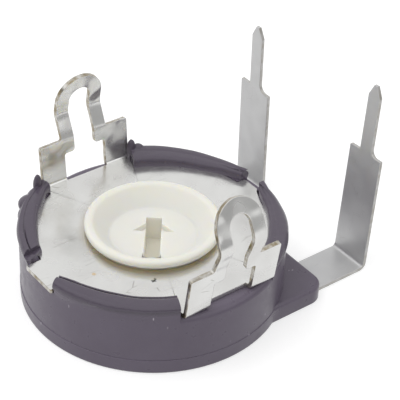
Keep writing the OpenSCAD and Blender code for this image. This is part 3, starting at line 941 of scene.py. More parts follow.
def lump(centre: Array, radii: Array, knobble: float, phase: float) -> Surface:
    """A knobbly ball.

    A point of the unit sphere at latitude p and longitude q is scaled by the radii and by
    1 + knobble * sin(3 q + phase) * cos(2 p) * cos(p), and moved to the centre.

    Args:
        centre: Middle of the ball, in millimetres.
        radii: Its half sizes along X, Y and Z.
        knobble: Share by which the radius varies.
        phase: Turns the pattern of knobbles.

    Returns:
        The closed surface.
    """
    p = np.radians(np.linspace(-90, 90, 17))[:, None]
    q = np.radians(np.linspace(0, 360, 33)[:-1])[None, :]
    ball = np.stack([np.cos(p) * np.cos(q), np.cos(p) * np.sin(q), np.sin(p) + 0 * q], axis=-1)
    scale = 1 + knobble * np.sin(3 * q + phase) * np.cos(2 * p) * np.cos(p)
    return Surface.grid(centre + ball * radii * scale[..., None], wrap_columns=True)


@dataclass(frozen=True)
class SheetStock:
    """Sheet metal: its thickness and how far shearing rounds its edges."""

    thickness: float
    edge_r: float = 0.035
    hold: float = 0.02
    edge_steps: int = 3

    def edge(self, line: Array, inward: Array, scale: Array) -> tuple[Array, Array, Array]:
        """Rows from the upper face round one sheared edge to the lower face.

        A row lies inset from the line by r - r cos a, at a rise of half the thickness - r + r sin a,
        for a from 90 to 0 degrees, and then in the mirror image below.

        Args:
            line: Points of the edge in the flat.
            inward: Unit normals that point into the sheet.
            scale: Share of the rounding at each point.

        Returns:
            Flat points, rise over the middle of the sheet, and cut-edge value, row by row.
        """
        half, r = self.thickness / 2, self.edge_r
        a = np.radians(np.linspace(90, 0, self.edge_steps + 1))
        inset = np.concatenate([[r + self.hold], r - r * np.cos(a)])
        rise = np.concatenate([[half], half - r + r * np.sin(a)])
        inset = np.concatenate([inset, inset[::-1]])[:, None] * scale
        rise = np.concatenate([rise, -rise[::-1]])[:, None]
        bare = (np.abs(rise) < half - 0.4 * r) * scale
        rise = rise * scale + np.sign(rise) * half * (1 - scale)
        return line + inward * inset[..., None], rise, bare

    def band(
        self, outer: Array, inner: Array, across: int, scale: Array | None = None, closed: bool = False
    ) -> tuple[Array, Array, Array]:
        """Rings of points round a strip of sheet between two guide lines in the flat.

        Args:
            outer: One guide line.
            inner: The other guide line, with as many points.
            across: Number of steps from one guide to the other.
            scale: Share of the edge rounding at each guide point.
            closed: Whether the guides are closed lines.

        Returns:
            Flat points, rise and cut-edge value, as guide points by ring points.
        """
        scale = np.ones(len(outer)) if scale is None else scale
        inward = line_normals(outer, closed)
        inward *= np.sign(np.sum(inward * (inner - outer)))
        outward = line_normals(inner, closed)
        outward *= np.sign(np.sum(outward * (outer - inner)))
        near = self.edge(outer, inward, scale)
        far = self.edge(inner, outward, scale)
        share = np.linspace(0, 1, across + 1)[1:-1, None, None]
        under = near[0][-1] + (far[0][-1] - near[0][-1]) * share
        over = far[0][0] + (near[0][0] - far[0][0]) * share
        level = np.ones((across - 1, len(outer))) * self.thickness / 2
        plain = np.zeros_like(level)
        flat = np.concatenate([near[0], under, far[0][::-1], over])
        rise = np.concatenate([near[1], -level, far[1][::-1], level])
        bare = np.concatenate([near[2], plain, far[2][::-1], plain])
        return np.swapaxes(flat, 0, 1), rise.T, bare.T


@dataclass
class Fold:
    """The middle line of a folded strip in its upright plane, by its length from the start."""

    place: Array
    length: Array = field(init=False)
    normal: Array = field(init=False)

    def __post_init__(self) -> None:
        """Work out the length and the left-hand normal at each point."""
        steps = np.linalg.norm(np.diff(self.place, axis=0), axis=1)
        self.length = np.concatenate([[0], np.cumsum(steps)])
        self.normal = line_normals(self.place, closed=False)

    @classmethod
    def through(cls, corners: Sequence[tuple[float, ...]]) -> "Fold":
        """A fold through corners given as (out, height, bend radius)."""
        return cls(even_line(corners, 0.08, 12, hold=0.002))

    def at_height(self, z: float | Array) -> float | Array:
        """Length at which the fold reaches a height."""
        return np.interp(z, self.place[:, 1], self.length)

    def at(self, length: Array, rise: Array) -> tuple[Array, Array]:
        """Out and height of points at a length along the fold, moved by rise along its normal."""
        out, height = (
            np.interp(length, self.length, self.place[:, i])
            + rise * np.interp(length, self.length, self.normal[:, i])
            for i in (0, 1)
        )
        return out, height


# ---------------------------------------------------------------- the pieces


CASE = MouldedCase()
TIN = MarkedSheet()
TERMINAL_TIN = TinnedSheet(
    name="dull_tinned_brass", colour="#cdcdcd", roughness=0.38, metallic=0.66, stain="#c5c5c6",
    brass="#aca9a2",
)
ROTOR = MouldedRotor()

COLLECTOR_BOX = [np.array(corner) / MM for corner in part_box("collector_plate")]
ROTOR_BOX = [np.array(corner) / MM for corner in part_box("rotor")]


@dataclass
class Housing:
    """Moulded cup with a staked rim, a nose that carries the terminals, and the rotor's stop."""

    flange_r: float = 8.0
    flange_h: float = 0.95
    wall_r: float = 7.97
    pocket_r: float = 7.19
    cavity_r: float = 6.74
    hub_bore_r: float = 2.65
    floor_t: float = 1.0
    seat_z: float = float(COLLECTOR_BOX[0][2])
    plate_top: float = 4.24
    lip_drop: float = 0.11
    least_drop: float = 0.3
    roll_proud: float = 0.09
    roll_fall: float = 1.8
    ripple: float = 0.012
    roll_r: tuple[float, float] = (0.12, 0.39)
    fall_r: float = 0.26
    groove_h: float = 0.05
    groove_r: float = 0.05
    swell_r: float = 0.06
    lip_w: float = 0.3
    lip_t: float = 0.4
    lip_r: float = 0.28
    bottom_r: float = 0.12
    gap_x: float = 3.25
    ledge_r: float = 0.4
    tab_gap_w: float = 2.75
    tab_apex_x: float = -5.05
    key_wall_z: float = 4.1
    nose_back: float = 2.0
    nose_reach: float = 7.92
    nose_w: float = 14.1
    nose_h: float = 1.11
    nose_corner_r: float = 1.1
    nose_edge_r: float = 0.22
    nose_foot_r: float = 0.06
    stop_half: float = 38.5
    stop_r: float = 5.59
    rivet_x: float = 3.45
    rivet_y: float = 4.70
    rivet_hole_r: float = 0.6
    channel_start: float = 2.25
    channel_step: float = 5.65
    channel_w: float = 2.79
    strip_top: float = 0.42
    outer_strip_top: float = 0.24
    terminal_y: float = 5.0
    knobble: float = 0.05
    columns: int = 300

    # What varies round the rim: angle about the rotor axis in degrees, and radius of the lip's inner edge
    LIP_EDGE = (
        (2, 7.6), (9.6, 7.3), (29, 6.75), (48, 6.51), (65, 6.35), (90, 6.7), (114, 7.3), (116, 7.3),
        (121, 7.1), (131, 6.92), (140, 6.85), (150, 6.8), (165, 6.87), (180, 7.2), (188, 7.16),
        (194.5, 6.86), (203, 6.77), (213, 6.72), (223, 6.68), (246, 6.7), (300, 6.7), (326, 6.84),
        (346, 7.14), (355, 7.42),
    )
    # Angle and height of the top of the outer roll
    RIM_TOP = (
        (2, 4.78), (10, 4.86), (25, 4.8), (45, 4.86), (65, 4.94), (116, 4.93), (135, 4.92), (165, 4.85),
        (190, 4.84), (215, 4.88), (246, 4.86), (296, 4.78), (320, 4.8), (350, 4.78),
    )
    # Angle and radius of the crease between the lip and the outer roll
    CREASE = (
        (9, 7.5), (30, 7.35), (65, 7.2), (116, 7.6), (131, 7.6), (150, 7.62), (165, 7.62), (192, 7.28),
        (204, 7.04), (214, 6.98), (228, 7.0), (245, 7.05), (300, 7.3), (330, 7.3), (350, 7.6),
    )
    # Angle and depth of that crease, as a share of the full one
    CREASE_DEPTH = (
        (2, 0), (130, 0), (147, 0), (154, 0.7), (166, 0.9), (180, 0.9), (190, 1), (225, 1), (246, 0.3),
        (295, 0), (350, 0),
    )
    # Angle and height at which the outer roll meets the wall
    ROLL_FOOT = (
        (10, 4.2), (65, 4.2), (116, 4.0), (165, 4.1), (190, 4.1), (194, 3.84), (201.5, 4.05), (208.5, 4.29),
        (217, 4.44), (232, 4.5), (246, 4.53), (295, 4.45), (320, 4.35), (350, 4.25),
    )

    # Slanted ends of the lip beside the tab: angles inside and outside, and the height of the cut
    LIP_ENDS = (((159.5, 168.5), 4.5), ((159.8, 173.7), 4.2))
    # Corners of the opening for the key, flared on one side as the key is
    KEY_CUT = ((5.2, 0.97), (7.7, 0.97), (7.7, -0.42), (7.52, -0.68), (6.9, -1.5), (5.2, -1.65))
    # Burrs that staking left: angle, radius and height of the middle, and half sizes out, along and up
    BURRS = (
        (118.2, 7.86, 4.82, 0.26, 0.31, 0.76), (122.5, 7.7, 4.4, 0.5, 0.75, 0.5),
        (128.5, 7.84, 4.4, 0.6, 0.8, 0.44), (137.0, 7.7, 4.4, 0.46, 0.8, 0.44),
        (65.0, 7.7, 4.76, 0.27, 0.29, 0.72), (61.8, 7.74, 4.72, 0.33, 0.4, 0.36),
        (60.0, 7.6, 4.5, 0.4, 0.7, 0.44), (167.5, 7.6, 4.26, 0.36, 0.3, 0.27),
    )

    def section(self, angle: Array) -> Array:
        """Sections of cup and rim at each angle, from the hub bore out, up, over the rim and back.

        The rim's outline is a chain of quarter ellipses and runs: wall, foot of the roll, roll,
        crease, lip, plate pocket. Their centres follow the sizes that vary round the rim.

        Args:
            angle: Angles in degrees.

        Returns:
            Angles by points by (radius, height).
        """
        wave = np.radians(angle)[:, None]
        lip = periodic(angle, self.LIP_EDGE)[:, None] + 0.015 * np.sin(23 * wave) * np.sin(5 * wave)
        crease = np.maximum(periodic(angle, self.CREASE)[:, None], lip + self.lip_w)
        foot = periodic(angle, self.ROLL_FOOT, 2)[:, None]
        depth = periodic(angle, self.CREASE_DEPTH)[:, None]
        top = periodic(angle, self.RIM_TOP)[:, None] + self.ripple * np.sin(13 * wave) * np.sin(4 * wave + 1)
        step = self.lip_drop * (self.least_drop + (1 - self.least_drop) * depth)
        lip_top = top - step + self.ripple * np.sin(17 * wave + 1) * depth
        groove, lip_edge = lip_top - self.groove_h * depth, lip_top - self.lip_t
        out = self.wall_r + self.roll_proud + self.ripple * np.sin(19 * wave + 2) * np.sin(3 * wave)
        bend = np.clip(top - foot - 0.08, *self.roll_r)
        fall = self.roll_fall * step

        def arc(
            r: Array, z: Array, half_r: Array, half_z: Array, start: float, end: float, steps: int
        ) -> Array:
            """Arc of an ellipse about (r, z) from one angle to another, in degrees, at each angle."""
            turn = np.radians(np.linspace(start, end, steps + 1))[None, :]
            return np.stack([r + half_r * np.cos(turn), z + half_z * np.sin(turn)], axis=-1)

        def fixed(line: Array) -> Array:
            """A line that is the same at every angle."""
            return np.broadcast_to(line, (len(angle), *line.shape))

        none = 0 * wave
        lower = even_line([
            (self.hub_bore_r, 0), (self.flange_r, 0, self.bottom_r),
            (self.flange_r, self.flange_h - 0.03, 0), (self.wall_r - 0.02, self.flange_h, 0),
            (self.wall_r, self.flange_h + 0.04, 0), (self.wall_r, 3.6),
        ], 1.0, 4)
        inner = even_line([
            (self.pocket_r, self.plate_top), (self.pocket_r, self.seat_z, 0),
            (self.cavity_r, self.seat_z, 0.03), (self.cavity_r, self.floor_t, 0.15),
            (self.hub_bore_r, self.floor_t, 0), (self.hub_bore_r, 0.05),
        ], 1.5, 3)
        parts = [
            fixed(lower),
            arc(self.wall_r + none, foot, none, none, 0, 0, 0),
            arc(self.wall_r + none + 0.004, foot + 0.02, none, none, 0, 0, 0),
            arc(out - bend, top - bend, bend, bend, 0, 90, 8),
            arc(crease + self.fall_r + 0.02, top - fall, self.fall_r + none, fall, 90, 150, 4),
            arc(crease, groove, self.groove_r + none, self.groove_h * depth, 350, 190, 4),
            arc(crease - 2 * self.swell_r, groove, self.swell_r + none, self.groove_h * depth, 30, 90, 3),
            arc(lip + self.lip_r, lip_edge, self.lip_r + none, self.lip_t + none, 90, 180, 7),
            arc(lip + none, self.plate_top + none, none, none, 0, 0, 0),
            fixed(inner),
        ]
        return np.concatenate(parts, axis=1)

    def cup(self) -> Surface:
        """The cup with its rim all the way round."""
        angle = np.linspace(0, 360, self.columns + 1)[:-1]
        return Surface.grid(turned(self.section(angle), angle), wrap_rows=True, wrap_columns=True)

    def nose(self) -> Surface:
        """The slab of the nose: its outline, drawn in by quarter rounds at its top and bottom edge.

        Returns:
            The closed surface.
        """
        half, reach = self.nose_w / 2, self.nose_reach
        outline = closed_line([
            (self.nose_back, -half, 0), (reach, -half, self.nose_corner_r),
            (reach, half, self.nose_corner_r), (self.nose_back, half, 0),
        ], 1.0, 12)
        inward = line_normals(outline, closed=True)
        a = np.radians(np.linspace(0, 90, 6))
        r, foot, hold = self.nose_edge_r, self.nose_foot_r, 0.02
        inset = np.concatenate([[foot + hold], foot - foot * np.sin(a), r - r * np.cos(a), [r + hold]])
        top = self.nose_h
        height = np.concatenate([[0], foot - foot * np.cos(a), top - r + r * np.sin(a), [top]])
        flat = outline + inward * inset[:, None, None]
        rows = np.concatenate([flat, np.broadcast_to(height[:, None, None], (*flat.shape[:2], 1))], axis=-1)
        return Surface.grid(rows, wrap_columns=True, caps=True)

    def gap_section(self, high: float) -> Array:
        """Section of what is cut away over the wall: level at the ledge, and rounded down outside.

        Args:
            high: Height of its top.

        Returns:
            Points as (radius, height).
        """
        near, far, edge = 3.0, self.flange_r + 1, self.wall_r + 0.01
        low = self.seat_z - self.ledge_r - 0.05
        return even_line([
            (near, high), (near, self.seat_z, 0), (edge, self.seat_z, self.ledge_r), (edge, low, 0),
            (far, low, 0), (far, high),
        ], 2.0, 6)

    def gaps(self) -> list[Surface]:
        """Prisms that open the rim for legs, tab and key: straight at the plate, flared above it.

        Returns:
            The closed surfaces to remove.
        """
        high = self.plate_top + 1.5
        plate_r = self.pocket_r - 0.05
        tools = []
        for side in (1, -1):
            middle, half_gap = side * 90, math.degrees(math.atan2(self.gap_x, plate_r))
            tools.append(turned_section(self.gap_section(high), middle - half_gap, middle + half_gap))
            ends = sorted((0, side * 2 * self.flange_r))
            tools.append(box((-self.gap_x, ends[0], self.seat_z), (self.gap_x, ends[1], self.plate_top)))
        tab_half, apex, far = self.tab_gap_w / 2, self.tab_apex_x, -2 * self.flange_r
        flare = tab_half / (self.wall_r + apex) * (apex - far)
        tools.append(prism(np.array([(apex, 0), (far, flare), (far, -flare)]), self.seat_z, high))
        tools.append(box((far, -tab_half, self.seat_z), (-4, tab_half, self.plate_top)))
        tools.append(prism(np.array(self.KEY_CUT), self.seat_z, high))
        (x, left), (_, right) = self.KEY_CUT[1:3]
        tools.append(box((x - 0.1, right, self.key_wall_z), (-far, left, high)))
        inside, outside, tab_a = 6.2, 8.6, 176
        for (inner_a, outer_a), low in self.LIP_ENDS:
            rays = ((inside, inner_a), (outside, outer_a), (outside, tab_a), (inside, tab_a))
            tools.append(prism(np.array([circle_points(r, a, a, 1)[0] for r, a in rays]), low, high))
        return tools

    def burrs(self) -> list[Surface]:
        """Burrs beside the loops and on the roll, each a knobbly ball turned about Z to its angle.

        Returns:
            The closed surfaces to add.
        """
        made = []
        for number, (angle, radius, z, *half_sizes) in enumerate(self.BURRS):
            ball = lump(np.array([radius, 0, z]), np.array(half_sizes), self.knobble, number)
            turn = np.array(Matrix.Rotation(math.radians(angle), 3, "Z"))
            made.append(Surface(ball.points @ turn.T, ball.faces, ball.bare))
        return made

    def channels(self) -> list[Surface]:
        """Channels in the underside for the end terminals, and the holes for their rivets.

        Returns:
            The closed surfaces to remove.
        """
        tools, below, half = [], -0.05, self.channel_w / 2
        for side in (1, -1):
            y = side * self.terminal_y
            for end, top in ((self.channel_step, self.strip_top), (2 * self.flange_r, self.outer_strip_top)):
                tools.append(box((self.channel_start, y - half, below), (end, y + half, top)))
            tools.append(drum(self.rivet_x, side * self.rivet_y, self.rivet_hole_r, 0, self.floor_t - below))
        return tools

    def build(self) -> bpy.types.Object:
        """Make the housing out of its forms.

        Returns:
            The finished piece.
        """
        hollow = drum(0, 0, self.cavity_r + 0.2, -0.1, self.nose_h + 0.1, 96)
        stop = sector(
            -self.stop_half, self.stop_half, self.stop_r, self.cavity_r + 0.1,
            self.floor_t - 0.1, self.seat_z - 0.01,
        )
        steps = [(Cut.REMOVE, hollow), (Cut.ADD, self.cup())]
        steps += [(Cut.REMOVE, tool) for tool in self.gaps()]
        steps += [(Cut.ADD, tool) for tool in (*self.burrs(), stop)]
        steps += [(Cut.REMOVE, tool) for tool in self.channels()]
        piece = placed(carved("housing_moulding", self.nose(), steps, 38), CASE)
        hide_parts("housing")
        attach(piece, "case")
        return piece


@dataclass(frozen=True)
class LoopBends:
    """How far one snap-in loop stands out from the edge of the plate, at each of its bends."""

    foot: float
    shoulder: float
    knee: float
    top: float
    extra_z: float = 0.0


@dataclass
class Collector:
    """Collector plate with its tab and key, folded up into the two snap-in loops."""

    stock: SheetStock = SheetStock(0.3)
    seat_z: float = float(COLLECTOR_BOX[0][2])
    loop_top_z: float = float(COLLECTOR_BOX[1][2])
    plate_r: float = 7.14
    hole_r: float = 3.87
    tab_x: float = float(COLLECTOR_BOX[0][0])
    tab_w: float = 2.65
    key_x: float = 7.67
    key_y: float = 0.27
    key_w: float = 1.3
    key_flare: float = 1.3
    root_y: float = 6.95
    bridge_y: float = 7.06
    leg_y: float = 7.29
    leg_gap: float = 2.92
    leg_w: float = 1.69
    shoulder_z: float = 6.96
    hook_z: float = 6.01
    knee_z: float = 8.51
    eye_w: float = 1.46
    strip_w: float = 0.87
    corner_r: float = 0.15
    eye_corner_r: float = 0.22
    bend_r: float = 0.3
    knee_r: float = 0.8
    across: int = 12
    loop_a: LoopBends = LoopBends(0.0, 0.24, 0.89, 0.38, 0.05)
    loop_b: LoopBends = LoopBends(0.1, 0.51, 1.07, -0.1, 0.08)

    def outline(self) -> tuple[Array, Array, Array]:
        """Outline of the plate, anticlockwise from the key.

        Returns:
            Its points, the share of edge rounding at each, with none where a leg folds up, and
            the share of bare brass at each, with none between the legs.
        """
        inner_x, outer_x = self.leg_gap / 2, self.leg_gap / 2 + self.leg_w
        low, high = self.key_y - self.key_w / 2, self.key_y + self.key_w / 2

        def angle_at(x: float | None = None, y: float | None = None) -> float:
            """Angle in degrees, from 0 to 90, of the plate's circle at a given x or y."""
            return math.degrees(math.acos(x / self.plate_r) if y is None else math.asin(y / self.plate_r))

        def rim(start: float, end: float) -> Array:
            """Points on the plate's circle between two angles, without its ends."""
            return circle_points(self.plate_r, start, end, max(3, math.ceil(abs(end - start) / 1.5)))[1:-1]

        def on_rim(angle: float) -> tuple[float, float]:
            """Point of the plate's circle at an angle."""
            return tuple(circle_points(self.plate_r, angle, angle, 1)[0])

        flare = angle_at(y=low - self.key_flare)
        key = even_line([
            on_rim(flare), (self.key_x - 0.2, low - 0.15, 0.2), (self.key_x, low + 0.1, 0.08),
            (self.key_x, high, 0.12), on_rim(angle_at(y=high)),
        ], 0.3, 4)
        side = even_line([on_rim(angle_at(x=outer_x)), (outer_x, self.root_y)], 0.2)
        fold_line = np.column_stack([
            np.linspace(outer_x, inner_x, self.across + 1), np.full(self.across + 1, self.root_y),
        ])
        root = np.concatenate([side[:-1], fold_line, [(inner_x, self.bridge_y)]])
        scale = np.concatenate([np.ones(len(side) - 1), np.zeros(self.across + 1), [1.0]])
        tab_half = self.tab_w / 2
        tab = even_line([
            on_rim(180 - angle_at(y=tab_half)), (self.tab_x, tab_half, 0.1), (self.tab_x, -tab_half, 0.1),
            on_rim(180 + angle_at(y=tab_half)),
        ], 0.3, 4)
        outer = angle_at(x=outer_x)
        bridge = np.column_stack([np.linspace(inner_x, -inner_x, 9), np.full(9, self.bridge_y)])[1:-1]
        flip_x, flip_y = np.array([-1, 1]), np.array([1, -1])
        parts = [
            (key, None), (rim(angle_at(y=high), outer), None), (root, scale), (bridge, None),
            (root[::-1] * flip_x, scale[::-1]), (rim(180 - outer, 180 - angle_at(y=tab_half)), None),
            (tab, None), (rim(180 + angle_at(y=tab_half), 180 + outer), None),
            (-root, scale), (-bridge, None), (root[::-1] * flip_y, scale[::-1]),
            (rim(360 - outer, 360 + flare), None),
        ]
        line = np.concatenate([part for part, _ in parts])
        share = np.concatenate([np.ones(len(part)) if known is None else known for part, known in parts])
        bare = np.where((np.abs(line[:, 0]) <= inner_x) & (np.abs(line[:, 1]) > self.root_y), 0.0, 1.0)
        return line, share, bare

    def plate(self) -> Surface:
        """The flat plate: a band of sheet between its outline and its round hole.

        Returns:
            The surface, open where the legs fold up.
        """
        outer, scale, tarnish = self.outline()
        inner = unit(outer) * self.hole_r
        flat, rise, bare = self.stock.band(outer, inner, 3, scale, closed=True)
        bare = bare * tarnish[:, None]
        z = self.seat_z + self.stock.thickness / 2 + rise
        points = np.concatenate([flat, z[..., None]], axis=-1)
        sheet = Surface.grid(points, wrap_rows=True, wrap_columns=True, bare=bare)
        return sheet.opened(self.at_root(sheet.points))

    def at_root(self, points: Array) -> Array:
        """Which points lie where a leg folds up out of the plate.

        Args:
            points: Points of the plate, by 3.

        Returns:
            A mark for each point.
        """
        x, y = np.abs(points[:, 0]), np.abs(points[:, 1])
        inside = (x > self.leg_gap / 2 - TINY) & (x < self.leg_gap / 2 + self.leg_w + TINY)
        return inside & (np.abs(y - self.root_y) < TINY)

    def loop(self, bends: LoopBends, side: int) -> Surface:
        """One snap-in loop: a band round its eye, folded at foot, shoulder and knee.

        Both guides go up a leg, in along the shoulder or hook, up the strip and round a half
        circle, and down the other side. Height along the fold gives the place in the flat.

        Args:
            bends: How far the loop stands out at its bends.
            side: 1 for the loop at +Y, -1 for the one at -Y.

        Returns:
            The surface, open where it joins the plate.
        """
        middle_z = self.seat_z + self.stock.thickness / 2
        top_z = self.loop_top_z + bends.extra_z
        start = self.leg_y - 1
        fold = Fold.through([
            (start, middle_z), (self.leg_y + bends.foot, middle_z, self.bend_r),
            (self.leg_y + bends.shoulder, self.shoulder_z, self.knee_r),
            (self.leg_y + bends.knee, self.knee_z, self.knee_r), (self.leg_y + bends.top, top_z + 0.05),
        ])
        root = self.root_y - start
        eye_r = self.eye_w / 2
        loop_r = eye_r + self.strip_w
        arch_z = top_z - loop_r

        def guide(leg_x: float, turn_z: float, leg_r: float, strip_x: float, strip_r: float) -> Array:
            """One guide line in the flat, from root to root.

            Args:
                leg_x: How far the leg's edge lies to the side.
                turn_z: Height at which the edge turns in.
                leg_r: Radius of that turn.
                strip_x: How far the strip's edge lies to the side.
                strip_r: Radius of the turn up the strip.

            Returns:
                Points as (across, length along the fold).
            """
            turn = float(fold.at_height(turn_z))
            up = rounded_line([
                (leg_x, root), (leg_x, turn, leg_r), (strip_x, turn, strip_r),
                (strip_x, fold.at_height(arch_z)),
            ], [26, 10, 20], 6)
            a = np.radians(np.linspace(0, 90, 21))[1:]
            arch = np.stack([strip_x * np.cos(a), fold.at_height(arch_z + strip_x * np.sin(a))], axis=1)
            half = np.concatenate([up, arch])
            return np.concatenate([half, (half[::-1] * (-1, 1))[1:]])

        leg_out = self.leg_gap / 2 + self.leg_w
        outer = guide(leg_out, self.shoulder_z, self.corner_r, loop_r, self.corner_r)
        inner = guide(self.leg_gap / 2, self.hook_z, self.corner_r, eye_r, self.eye_corner_r)
        scale = np.ones(len(outer))
        scale[[0, -1]] = 0
        flat, rise, bare = self.stock.band(outer, inner, self.across, scale)
        y, z = fold.at(flat[..., 1], rise)
        points = np.stack([flat[..., 0], side * y, z], axis=-1)
        return Surface.grid(points, wrap_columns=True, bare=bare)

    def build(self) -> bpy.types.Object:
        """Make the collector plate with both loops.

        Returns:
            The finished piece.
        """
        whole = self.plate().joined(self.loop(self.loop_a, 1), self.loop(self.loop_b, -1))
        piece = placed(whole.mesh("collector_sheet"), TIN)
        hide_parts("collector_plate")
        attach(piece, "case")
        return piece


@dataclass
class Rotor:
    """Rotor with hub, flange, neck, overhanging dished head and an arrow-shaped driver slot."""

    face_z: float = float(ROTOR_BOX[1][2])
    face_r: float = 4.1
    head_t: float = 0.46
    neck_r: float = 3.75
    rim_w: float = 0.45
    dish_slope_w: float = 1.0
    dish_depth: float = 1.02
    edge_r: float = 0.14
    rim_edge_r: float = 0.2
    dish_edge_r: float = 0.4
    hub_r: float = 2.6
    hub_z: float = float(ROTOR_BOX[0][2])
    flange_r: float = 4.6
    flange_low: float = 3.32
    flange_high: float = 3.82
    lug_r: float = 6.2
    lug_half: float = 8.0
    arrow_angle: float = 52.0
    shaft_w: float = 0.94
    shaft_ahead: float = 1.6
    shaft_behind: float = 2.24
    shaft_depth: float = 1.6
    barb_w: float = 2.46
    barb_start: float = 0.26
    barb_len: float = 0.75
    barb_depth: float = 0.4
    slot_edge_r: float = 0.05
    slot_centre: float = 0.35

    def arrow(self, grow: float, barbs: bool) -> Array:
        """Corners of the slot's outline, anticlockwise from the front end of the shaft.

        Args:
            grow: How far the outline lies outside the slot.
            barbs: Whether the barbs stand out, or lie in the sides of the shaft.

        Returns:
            The corners along +X.
        """
        half, front, back = self.shaft_w / 2, self.shaft_ahead, self.shaft_behind
        start, end = self.barb_start, self.barb_start + self.barb_len
        tip = (start, self.barb_w / 2) if barbs else (start + self.barb_len / 3, half)
        slant = math.atan2(self.barb_len, self.barb_w / 2 - half)
        tip_grow = (-grow, grow * (1 + math.cos(slant)) / math.sin(slant)) if barbs else (0, grow)
        upper = [
            (front + grow, half + grow),
            (end + (grow * math.tan(slant / 2) if barbs else 0), half + grow),
            (tip[0] + tip_grow[0], tip[1] + tip_grow[1]),
            (start - (grow if barbs else 0), half + grow),
            (-back - grow, half + grow),
        ]
        return np.array(upper + [(x, -y) for x, y in reversed(upper)])

    def shares(self, step_deg: float) -> list[Array]:
        """Shares along each side of the arrow at which rays from the slot's centre cross it.

        The rays are even steps of an angle; a ray of direction d from c crosses the side from p
        along e at the share cross(p - c, d) / cross(d, e).

        Args:
            step_deg: Largest angle between two rays.

        Returns:
            One array per side, without the side's last corner.
        """
        corners = self.arrow(0, True) - (self.slot_centre, 0)
        made = []
        for p, q in zip(corners, np.roll(corners, -1, axis=0)):
            first = math.atan2(p[1], p[0])
            sweep = math.atan2(p[0] * q[1] - p[1] * q[0], float(p @ q))
            angle = first + np.linspace(0, sweep, max(2, math.ceil(math.degrees(sweep) / step_deg)) + 1)[:-1]
            d, e = np.stack([np.cos(angle), np.sin(angle)], axis=1), q - p
            made.append((p[0] * d[:, 1] - p[1] * d[:, 0]) / (d[:, 0] * e[1] - d[:, 1] * e[0]))
        return made

    def ring(self, corners: Array, shares: Sequence[Array]) -> Array:
        """Points along a closed outline, at the given shares of each side."""
        sides = zip(corners, np.roll(corners, -1, axis=0), shares)
        return np.concatenate([p + (q - p) * share[:, None] for p, q, share in sides])

    def surface(self) -> Surface:
        """The whole rotor as one grid of rings, from the middle of the hub to that of the slot.

        The outside is a section turned about Z. In the floor of the dish the rings turn into
        outlines of the arrow, drawn in by a quarter round, and drop into barbs and shaft.

        Returns:
            The closed surface, with the arrow along its rest direction.
        """
        under = self.face_z - self.head_t
        dish_z, dish_r = self.face_z - self.dish_depth, self.face_r - self.rim_w
        section = even_line([
            (0, self.hub_z), (self.hub_r, self.hub_z, self.edge_r), (self.hub_r, self.flange_low, 0),
            (self.flange_r, self.flange_low, 0.06), (self.flange_r, self.flange_high, 0.06),
            (self.neck_r, self.flange_high, 0), (self.neck_r, under, 0.05), (self.face_r, under, self.edge_r),
            (self.face_r, self.face_z, self.rim_edge_r), (dish_r, self.face_z, self.dish_edge_r),
            (dish_r - self.dish_slope_w, dish_z, 2 * self.edge_r), (2.3, dish_z),
        ], 0.6, 8)
        shares = self.shares(2.0)
        base = self.ring(self.arrow(0, True), shares) - (self.slot_centre, 0)
        angle = np.degrees(np.arctan2(base[:, 1], base[:, 0]))
        sections = np.broadcast_to(section, (len(angle), *section.shape))
        rows = list(np.swapaxes(turned(sections, angle), 0, 1))

        def level(outline: Array, z: float) -> Array:
            """An outline at a height."""
            return np.column_stack([outline, np.full(len(outline), z)])

        r = self.slot_edge_r
        rows.append(level(self.ring(self.arrow(r + 0.02, True), shares), dish_z))
        for a in np.radians(np.linspace(90, 0, 5)):
            grown = self.ring(self.arrow(r - r * math.cos(a), True), shares)
            rows.append(level(grown, dish_z - r + r * math.sin(a)))
        barb_z, shaft_z = dish_z - self.barb_depth, dish_z - self.shaft_depth
        shaft = self.ring(self.arrow(0, False), shares)
        rows.append(level(self.ring(self.arrow(0, True), shares), barb_z))
        rows += [level(shaft, barb_z), level(shaft, (barb_z + shaft_z) / 2), level(shaft, shaft_z)]
        rows.append(level(np.zeros_like(shaft) + (self.slot_centre, 0), shaft_z))
        grid = Surface.grid(np.stack(rows), wrap_columns=True)
        turn = np.array(Matrix.Rotation(math.radians(self.arrow_angle), 3, "Z"))
        return Surface(grid.points @ turn.T, grid.faces, grid.bare)

    def build(self) -> bpy.types.Object:
        """Make the rotor with its stop lug.

        Returns:
            The finished piece.
        """
        lug = sector(
            self.arrow_angle - self.lug_half, self.arrow_angle + self.lug_half,
            self.flange_r - 0.1, self.lug_r, self.flange_low + 0.005, self.flange_high - 0.005,
        )
        piece = placed(carved("rotor_moulding", self.surface(), [(Cut.ADD, lug)], 40), ROTOR)
        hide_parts("rotor")
        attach(piece, "rotor_unit")
        return piece


